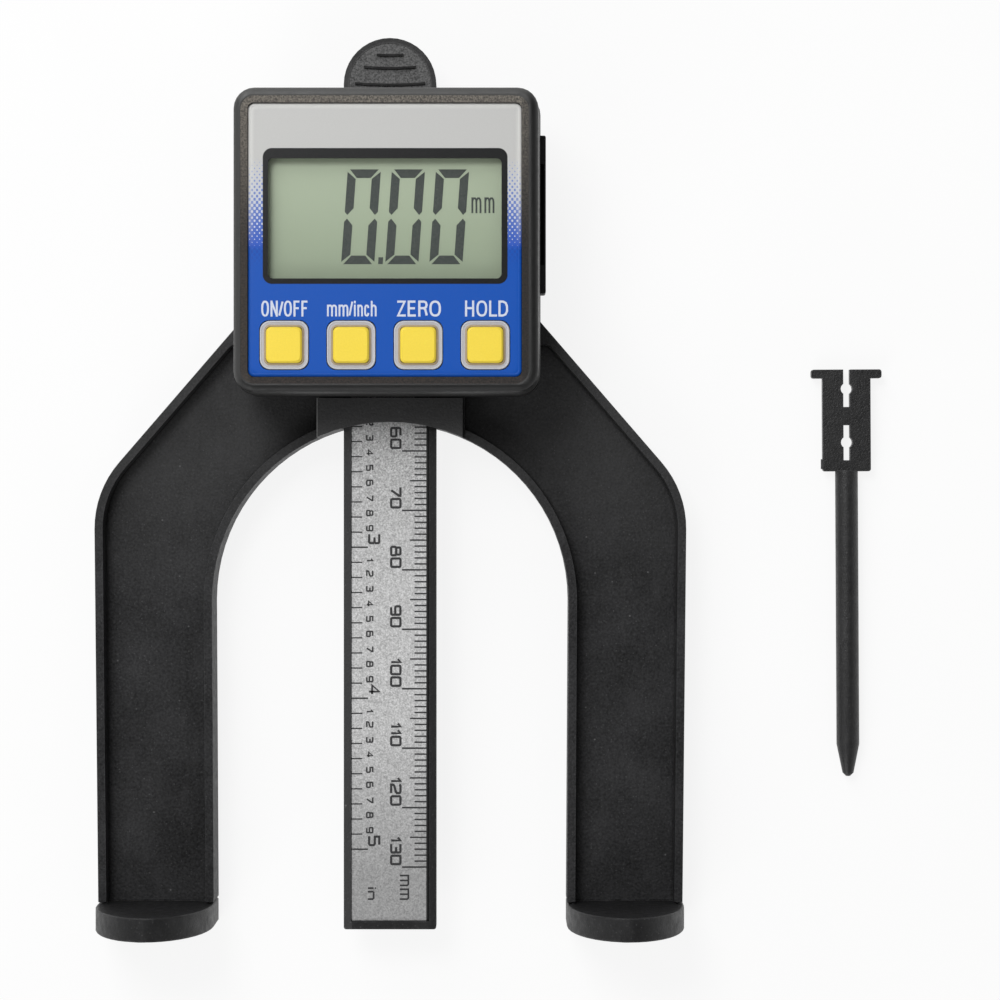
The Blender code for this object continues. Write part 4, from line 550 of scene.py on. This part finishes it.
def piece(name, points, faces, material, body):
    """A new mesh piece from points in millimetres."""
    mesh = bpy.data.meshes.new(name)
    mesh.from_pydata([[c * MM for c in point] for point in points], [], faces)
    mesh.materials.append(material)
    shape = bmesh.new()
    shape.from_mesh(mesh)
    bmesh.ops.recalc_face_normals(shape, faces=shape.faces)
    shape.to_mesh(mesh)
    shape.free()
    made = bpy.data.objects.new(name, mesh)
    bpy.context.scene.collection.objects.link(made)
    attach(made, body)
    return made


def ring_faces(first, second, count):
    """The four-sided faces between two rings of points, each given by its first point."""
    for i in range(count):
        j = (i + 1) % count
        yield (first + i, first + j, second + j, second + i)


# Points nearer to each other than this, in millimetres, are taken as one.
SAME_PLACE = 1e-6


class Sheet:
    """Thin printed shapes, each a closed plate a hundredth of a millimetre or two thick."""

    def __init__(self, low, high):
        self.low, self.high = low, high
        self.points, self.faces = [], []
        self.strokes = 0

    def shape(self, outline):
        """Adds one filled outline."""
        area = sum(a[0] * b[1] - b[0] * a[1] for a, b in zip(outline, outline[1:] + outline[:1]))
        if area < 0:
            outline = outline[::-1]
        first, count = len(self.points), len(outline)
        self.points += [(x, y, self.low) for x, y in outline]
        self.points += [(x, y, self.high) for x, y in outline]
        self.faces.append([first + i for i in reversed(range(count))])
        self.faces.append([first + count + i for i in range(count)])
        self.faces += ring_faces(first, first + count, count)

    def bar(self, x0, y0, x1, y1):
        """Adds an upright rectangle."""
        self.shape([(x0, y0), (x1, y0), (x1, y1), (x0, y1)])

    def stroke(self, line, width, turn):
        """Adds a pen stroke with mitred corners. turn puts the letter's own units in place."""
        longest_mitre, sharpest_cosine = 1.6, 0.4
        self.strokes += 1
        base_height = self.high
        self.high += self.strokes % 4 * LAYER
        path = [Vector(p) for p in line]
        closed = (path[0] - path[-1]).length < SAME_PLACE
        if closed:
            path = path[:-1]
        count = len(path)
        sides = []
        for i, here in enumerate(path):
            before = path[i - 1] if closed or i else None
            after = path[(i + 1) % count] if closed or i < count - 1 else None
            back = (after - here if before is None else here - before).normalized()
            ahead = back if after is None else (after - here).normalized()
            across = Vector((-(back.y + ahead.y), back.x + ahead.x)).normalized()
            lean = max(sharpest_cosine, across.dot(Vector((-back.y, back.x))))
            grow = min(longest_mitre, 1 / lean)
            sides.append((here + across * width / 2 * grow, here - across * width / 2 * grow))
        for i in range(count if closed else count - 1):
            j = (i + 1) % count
            self.shape([turn(p) for p in (sides[i][0], sides[i][1], sides[j][1], sides[j][0])])
        self.high = base_height

    def finish(self, name, material, body):
        """Makes the piece."""
        piece(name, self.points, self.faces, material, body)


def corner(x, y, signs, cut=0.13):
    """Three points that round a corner of a letter."""
    sx, sy = signs
    return [(x, y - sy * cut), (x - sx * cut * 0.3, y - sy * cut * 0.3), (x - sx * cut, y)]


def loop(x0, y0, x1, y1):
    """A closed rounded box of a letter."""
    line = corner(x1, y1, (1, 1)) + corner(x0, y1, (-1, 1))[::-1]
    line += corner(x0, y0, (-1, -1)) + corner(x1, y0, (1, -1))[::-1]
    return line + line[:1]


# The corners that the squarish figures share: two upper ones, and the lower right one.
UPPER_LEFT = corner(0, 1, (-1, 1))
UPPER_RIGHT = corner(0.84, 1, (1, 1))[::-1]
LOWER_RIGHT = corner(0.84, 0, (1, -1))

# The scale's figures, each in a box one unit high, with its width and its pen strokes.
FIGURES = {
    "0": (0.84, [loop(0, 0, 0.84, 1)]),
    "1": (0.34, [[(0.0, 0.72), (0.3, 1.0), (0.3, 0.0)]]),
    "2": (0.84, [UPPER_LEFT + UPPER_RIGHT
                 + [(0.84, 0.62), (0.72, 0.5), (0.12, 0.34), (0, 0.2), (0, 0), (0.84, 0)]]),
    "3": (0.84, [[(0, 1)] + UPPER_RIGHT + [(0.84, 0.64), (0.7, 0.53), (0.3, 0.53)],
                 [(0.7, 0.53), (0.84, 0.42)] + LOWER_RIGHT + [(0, 0)]]),
    "4": (0.84, [[(0.6, 0), (0.6, 1), (0, 0.3), (0.84, 0.3)]]),
    "5": (0.84, [[(0.8, 1), (0.04, 1), (0.04, 0.56), (0.7, 0.56), (0.84, 0.44)]
                 + LOWER_RIGHT + [(0, 0)]]),
    "6": (0.84, [[(0.74, 1)] + UPPER_LEFT[::-1] + [(0, 0.3)], loop(0, 0, 0.84, 0.56)]),
    "7": (0.84, [[(0, 1), (0.84, 1), (0.84, 0.86), (0.28, 0)]]),
    "8": (0.84, [loop(0, 0, 0.84, 0.54), loop(0.07, 0.54, 0.77, 1)]),
    "9": (0.84, [[(0.1, 0)] + LOWER_RIGHT[::-1] + [(0.84, 0.7)], loop(0, 0.44, 0.84, 1)]),
    "m": (1.16, [[(0, 0), (0, 1), (1.03, 1), (1.16, 0.86), (1.16, 0)], [(0.58, 1), (0.58, 0)]]),
    "n": (0.84, [[(0, 0), (0, 0.72)], [(0, 0.72), (0.7, 0.72), (0.84, 0.6), (0.84, 0)]]),
    "i": (0.12, [[(0.06, 0), (0.06, 0.72)], [(0.06, 0.86), (0.06, 1.0)]]),
}


def write_down(sheet, text, base, end, size, pen, gap=0.32, wide=1.0):
    """Writes figures that read downward, their tops to the right, the last one ending at end."""
    tall = size - pen
    across = tall * wide
    units = sum(FIGURES[c][0] for c in text) + gap * (len(text) - 1)
    start = end + units * across + pen / 2
    for c in text:
        for line in FIGURES[c][1]:
            sized = [(p[0] * across, p[1] * tall) for p in line]
            sheet.stroke(sized, pen, lambda p, s=start: (base + pen / 2 + p.y, s - p.x))
        start -= (FIGURES[c][0] + gap) * across


def make_scale():
    """The ruler's ticks and figures, printed on the foil: millimetres right, inches left."""
    ticks = Sheet(LABEL_TOP, LABEL_TOP + INK)
    figures = Sheet(LABEL_TOP, LABEL_TOP + INK)
    zero, tenth_of_inch = 140.45, 2.54
    millimetres, tenths = 130, 50

    def column(px):
        return photo_point(px, PHOTO_PIXELS / 2, LABEL_TOP)[0]

    for mark in range(1, millimetres + 1):
        left = 402 if mark % 10 == 0 else 410 if mark % 5 == 0 else 414.5
        here = zero - mark
        pen = 0.27 if mark % 10 == 0 else 0.25
        ticks.bar(column(left), here - pen / 2, column(426.3), here + pen / 2)
    for mark in range(10, millimetres + 1, 10):
        write_down(figures, str(mark), column(390), zero - mark + 0.3, 1.95, 0.39, wide=1.08)
    for mark in range(1, tenths + 1):
        here = zero - mark * tenth_of_inch
        if mark % 10 == 0:
            right, pen = 368, 0.25
            write_down(figures, str(mark // 10), column(368), here + 0.5, 2.08, 0.38, wide=1.05)
        else:
            right, pen = 362.3, 0.21
            write_down(figures, str(mark % 10), column(366), here + 0.12, 1.26, 0.26)
        ticks.bar(column(351.6), here - pen / 2, column(right), here + pen / 2)
    foot = photo_point(404, 900, LABEL_TOP)[1]
    write_down(figures, "mm", column(399), foot, 1.72, 0.29, 0.46)
    write_down(figures, "in", column(367), foot, 1.64, 0.29, 0.34, 1.1)
    ticks.finish("scale_ticks", SCALE_INK, "beam")
    figures.finish("scale_figures", SCALE_INK, "beam")


def make_digits():
    """The display's three slanted noughts and their point, as dark shapes under the window."""
    shapes = Sheet(GLASS_TOP + 0.01, GLASS_TOP + 0.03)
    reach = (CAMERA_AT[2] - GLASS_TOP) / FOCAL_PIXELS
    foot_row, slant = 264.7, 0.0712
    wide, tall, thick, gap, middle = 33.2, 95.3, 8.6, 1.0, 47.9
    # How far the segments stop short of the corners, and of the middle at their pointed ends.
    top_cut, side_cut, lowest = 1.2, 1.4, 0.4
    inner_cut, tip_cut, outer_cut, tip_side = 8.6, 1.8, 5, 2.8
    top = [(gap + top_cut, tall), (wide - gap - top_cut, tall),
           (wide - thick - gap, tall - thick), (thick + gap, tall - thick)]
    left_side = [(0, tall - gap - side_cut), (thick, tall - thick - gap),
                 (thick, middle + inner_cut), (tip_side, middle + tip_cut), (0, middle + outer_cut)]
    right_side = [(wide, tall - gap - side_cut), (wide, middle + outer_cut),
                  (wide - tip_side, middle + tip_cut), (wide - thick, middle + inner_cut),
                  (wide - thick, tall - thick - gap)]
    upper = (top, left_side, right_side)
    lower = [[(u, max(2 * middle - v, lowest)) for u, v in reversed(part)] for part in upper]
    point = [(0, 0.6), (4.7, 0.6), (4.7, 7.4), (0, 7.4)]

    def add(points, left):
        foot_x, foot_y = photo_point(left, foot_row, GLASS_TOP)
        shapes.shape([(foot_x + (u + v * slant) * reach, foot_y + v * reach) for u, v in points])

    for left in (341.0, 385.1, 429.2):
        for points in (*upper, *lower):
            add(points, left)
    add(point, 378.0)
    shapes.finish("display_digits", LCD_INK, "gauge")


def oval(steps=28):
    """A closed squarish oval, one unit wide and high."""
    def squarish(share):
        return 0.5 + math.copysign(abs(share) ** 0.82, share) / 2

    angles = [2 * math.pi * step / steps for step in range(steps)]
    points = [(squarish(math.cos(angle)), squarish(math.sin(angle))) for angle in angles]
    return points + points[:1]


def arch(left, right):
    """The shoulder and right leg of a small letter, from its stem at left."""
    reach = right - left
    bend = ((0.0, 0.55), (0.12, 0.66), (0.35, 0.72), (0.68, 0.72), (0.92, 0.65), (1.0, 0.52),
            (1.0, 0.0))
    return [(left + u * reach, v) for u, v in bend]


# Plain bold letters as pen strokes, each in a box one unit wide and high.
LETTERS = {
    "O": [oval()],
    "N": [[(0, 0), (0, 1)], [(0, 1), (1, 0)], [(1, 0), (1, 1)]],
    "/": [[(0, 0), (1, 1)]],
    "F": [[(0.94, 1), (0, 1), (0, 0)], [(0, 0.53), (0.8, 0.53)]],
    "Z": [[(0.04, 1), (1, 1), (0, 0), (1, 0)]],
    "E": [[(0.94, 1), (0, 1), (0, 0), (1, 0)], [(0, 0.52), (0.86, 0.52)]],
    "R": [[(0, 0), (0, 1)],
          [(0, 1), (0.64, 1), (0.88, 0.94), (0.98, 0.77), (0.88, 0.59), (0.64, 0.53), (0, 0.53)],
          [(0.62, 0.53), (0.8, 0.42), (1, 0)]],
    "H": [[(0, 0), (0, 1)], [(1, 0), (1, 1)], [(0, 0.53), (1, 0.53)]],
    "L": [[(0, 1), (0, 0), (1, 0)]],
    "D": [[(0, 0.5), (0, 1), (0.46, 1), (0.8, 0.91), (0.98, 0.68), (0.98, 0.32), (0.8, 0.09),
           (0.46, 0), (0, 0), (0, 0.5)]],
    "m": [[(0, 0), (0, 0.72)], arch(0, 0.5), arch(0.5, 1)],
    "n": [[(0, 0), (0, 0.72)], arch(0, 1)],
    "h": [[(0, 0), (0, 1)], arch(0, 1)],
    "i": [[(0, 0), (0, 0.72)], [(0, 0.94), (0, 1)]],
    "c": [[(1, 0.54), (0.9, 0.66), (0.68, 0.72), (0.32, 0.72), (0.1, 0.66), (0, 0.52), (0, 0.2),
           (0.1, 0.06), (0.32, 0), (0.68, 0), (0.9, 0.06), (1, 0.18)]],
}


def write_across(name, top, bottom, pen, letters, height, material):
    """Writes letters between pixel rows of the photo, each between its own pixel columns."""
    sheet = Sheet(height, height + INK)
    reach = (CAMERA_AT[2] - height) / FOCAL_PIXELS
    half = pen / 2
    tall = bottom - top - pen
    for letter, left, right in letters:
        wide = right - left - pen
        for line in LETTERS[letter]:
            path = [Vector(photo_point(left + half + u * wide, bottom - half - v * tall, height))
                    for u, v in line]
            # A level or upright stroke reaches half a pen past its open ends.
            is_open = (path[0] - path[-1]).length > SAME_PLACE
            for end, inner in ((0, 1), (-1, -2)):
                away = path[end] - path[inner]
                if is_open and min(abs(away.x), abs(away.y)) < SAME_PLACE:
                    path[end] = path[end] + away.normalized() * half * reach
            sheet.stroke(path, pen * reach, lambda p: (p.x, p.y))
    sheet.finish(name, material, "gauge")


def make_words():
    """The legends over the keys, and the unit on the display."""
    words = (
        ("legend_on_off", 300.6, 316.6, 2.0,
         (("O", 261.2, 269.0), ("N", 270.5, 277.8), ("/", 278.2, 283.6), ("O", 283.9, 291.9),
          ("F", 293.5, 299.7), ("F", 301.4, 307.7))),
        ("legend_unit", 300.8, 316.4, 1.8,
         (("m", 327.0, 337.0), ("m", 338.6, 348.4), ("/", 348.6, 353.2), ("i", 353.9, 355.9),
          ("n", 357.4, 362.9), ("c", 364.2, 369.3), ("h", 370.8, 376.6))),
        ("legend_zero", 300.5, 316.6, 2.25,
         (("Z", 397.0, 405.8), ("E", 407.6, 415.8), ("R", 418.2, 427.9), ("O", 429.3, 441.0))),
        ("legend_hold", 300.5, 316.6, 2.15,
         (("H", 465.0, 474.2), ("O", 476.4, 487.2), ("L", 489.1, 497.1), ("D", 498.4, 508.2))),
    )
    for name, top, bottom, pen, letters in words:
        write_across(name, top, bottom, pen, letters, SHEET_TOP, LEGEND_INK)
    unit = (("m", 471.4, 481.4), ("m", 484.4, 494.4))
    write_across("display_unit", 192.0, 213.1, 1.85, unit, GLASS_TOP + 0.01, LCD_INK)


def rounded_square(centre, half, radius, steps=8):
    """Points round a square with rounded corners, anticlockwise from its lower left."""
    points = []
    for turn, (sx, sy) in enumerate(((-1, -1), (1, -1), (1, 1), (-1, 1))):
        x, y = centre[0] + sx * (half - radius), centre[1] + sy * (half - radius)
        for step in range(steps + 1):
            angle = math.pi * (1 + turn / 2) + math.pi / 2 * step / steps
            points.append((x + radius * math.cos(angle), y + radius * math.sin(angle)))
    return points


def frames(name, centres, section, corner_radius, material):
    """Closed square frames: a cross-section of half-sizes and heights, carried round centres."""
    points, faces = [], []
    widest = max(half for half, _ in section)
    for centre in centres:
        rings = []
        for half, height in section:
            outline = rounded_square(centre, half, corner_radius - (widest - half))
            rings.append(len(points))
            points += [(x, y, height) for x, y in outline]
        for lower, upper in zip(rings, rings[1:] + rings[:1]):
            faces += ring_faces(lower, upper, len(outline))
    made = piece(name, points, faces, material, "gauge")
    for face in made.data.polygons:
        face.use_smooth = True


def make_key_trims():
    """The soft lip round each collar, paler as a painted highlight, and the thin web that seals
    each key in its collar, brown as painted shade of the gap.
    """
    centres = [(SHEET_CENTRE[0] + KEY_PITCH * share, KEY_ROW) for share in (-1.5, -0.5, 0.5, 1.5)]
    lip = [(3.94, 18.93), (3.94, 19.06), (3.9, 19.13), (3.81, 19.17), (3.7, 19.16), (3.61, 19.1),
           (3.61, 18.93)]
    frames("collar_lips", centres, lip, 1.65, LIP_HIGHLIGHT)
    web = [(3.28, 18.5), (3.28, 19.12), (3.2, 19.2), (3.1, 19.27), (3.01, 19.31), (2.96, 19.3),
           (2.96, 18.5)]
    frames("key_webs", centres, web, 1.0, WEB_SHADE)


def make_sheet_rim():
    """The soft rounded rim that seals the face sheet's edge into the bezel."""
    rim = [(22.22, 18.6), (22.22, 18.78), (22.16, 18.85), (22.06, 18.91), (21.9, 18.95),
           (21.7, 18.96), (21.6, 18.93), (21.6, 18.6)]
    frames("sheet_rim", [SHEET_CENTRE], rim, 1.1, FACE)


def make_leg_seams():
    """The moulded shoulder that closes the join between each leg's web and its foot plate."""
    inner_end, outer_end, steps = 31.05, 48.1, 24
    section = [(4.02, -5.6), (4.75, -5.6), (4.75, -5.12), (4.34, -5.05), (4.34, -3.9),
               (4.24, -3.74), (4.08, -3.74), (4.02, -3.82)]
    count = len(section)
    for name, side in (("leg_seam_left", -1), ("leg_seam_right", 1)):
        start, end = sorted((side * inner_end, side * outer_end))
        points, faces = [], []
        for step in range(steps + 1):
            x = start + (end - start) * step / steps
            points += [(x, y, z) for y, z in section]
        for step in range(steps):
            faces += ring_faces((step + 1) * count, step * count, count)
        faces.append(tuple(range(count)))
        faces.append(tuple(steps * count + i for i in reversed(range(count))))
        piece(name, points, faces, BLACK, "gauge")


def make_stage():
    """A plain pale floor that keeps the object's soft shadow."""
    far, level = 3.0, FLOOR_TOP * MM
    dark_paper, light_paper = (0.86, 0.86, 0.86, 1.0), (0.9, 0.9, 0.9, 1.0)
    glow_share = 0.86
    corners = [(-far, -far, level), (far, -far, level), (far, far, level), (-far, far, level)]
    mesh = bpy.data.meshes.new("floor")
    mesh.from_pydata(corners, [], [(0, 1, 2, 3)])
    floor = bpy.data.objects.new("floor", mesh)
    bpy.context.scene.collection.objects.link(floor)
    n = Nodes("pale_floor")
    paper = n.tree.nodes.new("ShaderNodeBsdfDiffuse")
    n.link(n.mix(n.noise(30.0, 3.0, 0.5, (0.3, 0.7)), dark_paper, light_paper), paper.inputs[0])
    glow = n.tree.nodes.new("ShaderNodeEmission")
    glow.inputs["Strength"].default_value = 1.0
    rays = n.tree.nodes.new("ShaderNodeLightPath")
    seen = n.math("ADD", rays.outputs["Is Camera Ray"], rays.outputs["Is Glossy Ray"])
    seen = n.math("ADD", seen, rays.outputs["Is Transmission Ray"], clamp=True)
    both = n.tree.nodes.new("ShaderNodeMixShader")
    n.link(n.times(seen, glow_share), both.inputs[0])
    n.link(paper.outputs[0], both.inputs[1])
    n.link(glow.outputs[0], both.inputs[2])
    n.link(both.outputs[0], n.output.inputs[0])
    mesh.materials.append(n.material)


def make_world():
    """A pale studio: white and dimmer overhead where it is seen or mirrored, softer as light."""
    world = bpy.data.worlds.new("studio")
    bpy.context.scene.world = world
    world.use_nodes = True
    tree = world.node_tree
    tree.nodes.clear()
    rays = tree.nodes.new("ShaderNodeLightPath")
    sky = tree.nodes.new("ShaderNodeBackground")
    sky.inputs["Strength"].default_value = 0.46
    seen = tree.nodes.new("ShaderNodeBackground")
    way = tree.nodes.new("ShaderNodeTexCoord")
    rise = tree.nodes.new("ShaderNodeSeparateXYZ")
    # Full strength up to a rise of 0.3, and 0.22 of it from 0.8 on.
    dim = tree.nodes.new("ShaderNodeMapRange")
    for place, value in ((1, 0.3), (2, 0.8), (3, 1.0), (4, 0.22)):
        dim.inputs[place].default_value = value
    tree.links.new(way.outputs["Generated"], rise.inputs[0])
    tree.links.new(rise.outputs[2], dim.inputs[0])
    tree.links.new(dim.outputs[0], seen.inputs["Strength"])
    first = tree.nodes.new("ShaderNodeMath")
    second = tree.nodes.new("ShaderNodeMath")
    first.use_clamp = second.use_clamp = True
    both = tree.nodes.new("ShaderNodeMixShader")
    out = tree.nodes.new("ShaderNodeOutputWorld")
    tree.links.new(rays.outputs["Is Camera Ray"], first.inputs[0])
    tree.links.new(rays.outputs["Is Glossy Ray"], first.inputs[1])
    tree.links.new(first.outputs[0], second.inputs[0])
    tree.links.new(rays.outputs["Is Transmission Ray"], second.inputs[1])
    tree.links.new(second.outputs[0], both.inputs[0])
    tree.links.new(sky.outputs[0], both.inputs[1])
    tree.links.new(seen.outputs[0], both.inputs[2])
    tree.links.new(both.outputs[0], out.inputs[0])


def lamp(name, place, size, power):
    """A soft square lamp, placed in millimetres and aimed at the gauge's middle."""
    aim = (0, 75, 0)
    light = bpy.data.lights.new(name, "AREA")
    light.shape = "SQUARE"
    light.size = size * MM
    light.energy = power
    made = bpy.data.objects.new(name, light)
    bpy.context.scene.collection.objects.link(made)
    made.location = [c * MM for c in place]
    away = Vector(aim) - Vector(place)
    made.rotation_euler = away.to_track_quat("-Z", "Y").to_euler()


def make_lights():
    """A soft lamp high on the left, a low one behind for the upper edges, and a weak fill."""
    lamp("key_light", (-155, 345, 550), 240, 1.78)
    lamp("edge_light", (-230, 620, 330), 300, 1.1)
    lamp("fill_light", (-260, -420, 380), 380, 1.4)


def make_camera():
    """The photo's camera, which looks straight down on the laid-out parts."""
    lens = bpy.data.cameras.new("photo_camera")
    lens.sensor_width = SENSOR_WIDTH
    lens.lens = FOCAL_PIXELS * SENSOR_WIDTH / PHOTO_PIXELS
    lens.clip_start, lens.clip_end = 0.01, 20.0
    made = bpy.data.objects.new("photo_camera", lens)
    bpy.context.scene.collection.objects.link(made)
    made.location = [c * MM for c in CAMERA_AT]
    bpy.context.scene.camera = made


# The finishes, and what wears them.
BLACK = moulded("moulded_black", linear(20, 20, 21), grain=0.3, depth=0.05, uneven=0.75, worn=0.5,
                dusty=0.16)
FRAME = moulded("frame_black", linear(41, 41, 42), grain=0.42, depth=0.05, shine=0.14, uneven=0.8,
                worn=0.3, dusty=0.18, flecks=0.6, band=frame_band)
BEAM = moulded("beam_black", linear(20, 20, 21), depth=0.03, uneven=0.4, worn=0.5, dusty=0.2,
               band=beam_band)
ROD = moulded("rod_black", linear(22, 22, 23), depth=0.03, rough=0.42, shine=0.55, uneven=0.5,
              worn=0.5, dusty=0.1)
FOOT = moulded("foot_black", linear(20, 20, 21), grain=0.4, depth=0.02, uneven=0.6, worn=0.5,
               dusty=0.15)
HEAD = moulded("head_black", grey(26), grain=0.24, depth=0.01, rough=0.42)
FRONT = moulded("head_front_black", grey(30), grain=0.24, depth=0.012, rough=0.47, shine=0.45,
                dusty=0.08, band=bezel_band)
DRAWER = moulded("drawer_black", linear(22, 22, 23), grain=0.26, depth=0.012)
HOLDER = moulded("holder_grey", linear(52, 53, 54), grain=0.3, depth=0.008)
CONDUCTOR = moulded("strip_rubber", linear(96, 84, 88), grain=0.12, depth=0.006, rough=0.6)
COLLAR = moulded("collar_grey", linear(181, 180, 183), grain=0.25, depth=0.008, rough=0.55,
                 uneven=0.05, flecks=0.1)
# Paler than the collar: a painted highlight on the lip's rounded edge.
LIP_HIGHLIGHT = moulded("collar_lip_grey_painted_highlight", linear(192, 193, 198), grain=0.25, depth=0.006, rough=0.5,
              uneven=0.05, flecks=0.1)
# Brown: painted shade of the gap between key and collar.
WEB_SHADE = moulded("key_web_brown_painted_shade", linear(170, 152, 124), grain=0.25, depth=0.006, rough=0.6,
              uneven=0.1)
KEY = moulded("key_yellow_soft", linear(243, 215, 69), grain=0.3, depth=0.006, rough=0.42,
              uneven=0.04, flecks=0.08)
CHIP = moulded("chip_black", linear(26, 26, 27), grain=0.2, depth=0.01, rough=0.35)
BOARD = circuit_board("board_mask", linear(20, 72, 44), linear(46, 104, 66))
SPRING = metal("spring_metal", linear(196, 196, 192), 0.28)
CELL = metal("cell_metal", linear(206, 206, 204), 0.24, (0.1, 0.1, 2.0))
SCREW = metal("screw_zinc", linear(176, 178, 184), 0.3, (0.15, 0.15, 0.5))
MAGNET = metal("magnet_plate", linear(190, 188, 182), 0.2, (0.3, 0.3, 0.3))
PIN = metal("pin_metal", linear(214, 178, 96), 0.25, (0.1, 0.1, 0.8))
FACE = printed_face()
FOIL = silver_label()
DISPLAY = display_face()
WINDOW = window_glass()
SCALE_INK = ink("scale_ink", linear(30, 30, 32), thin=0.12)
LEGEND_INK = ink("legend_ink", linear(204, 211, 228), 0.45)
LCD_INK = ink("display_ink", linear(18, 34, 28), 0.45)

KEYS = ["key_on_off", "key_unit", "key_zero", "key_hold"]
DOMES = [f"key_dome_{number}" for number in range(1, 5)]
CASE_SCREWS = [f"case_screw_{number}" for number in range(1, 5)]
MAGNETS = [f"foot_magnet_{number}" for number in range(1, 5)]

dress(["frame"], FRAME, 0.2)
dress(["measuring_beam"], BEAM, 0.12)
dress(["depth_rod"], ROD, 0.15)
dress(["foot_left", "foot_right"], FOOT, 0.25)
dress(["head_rear_case"], HEAD, 0.2)
dress(["head_front_case"], FRONT)
dress(["battery_drawer"], DRAWER, 0.12)
dress(["face_sheet"], FACE, 0.06)
dress(["display_lens"], WINDOW)
dress(["lcd_panel"], DISPLAY)
dress(["scale_label"], FOIL)
dress(["lcd_holder"], HOLDER)
dress(["zebra_strip_lower", "zebra_strip_upper"], CONDUCTOR)
dress(["keypad_bezel"], COLLAR, 0.12)
dress(KEYS, KEY, 0.3, 3)
dress(["main_board", "sensor_board", "scale_board"], BOARD)
dress(["chip_cover"], CHIP, 0.2)
dress(["slide_spring", "battery_contact_lower", "battery_contact_upper", *DOMES], SPRING)
dress(["battery_cell"], CELL, 0.2)
dress(["spring_screw", "foot_screw_left", "foot_screw_right", *CASE_SCREWS], SCREW, 0.08)
dress(MAGNETS, MAGNET, 0.1)
dress(["pin_header"], PIN)

make_scale()
make_digits()
make_words()
make_key_trims()
make_sheet_rim()
make_leg_seams()
make_stage()
make_world()
make_lights()
make_camera()
bpy.context.scene.view_settings.view_transform = "Standard"
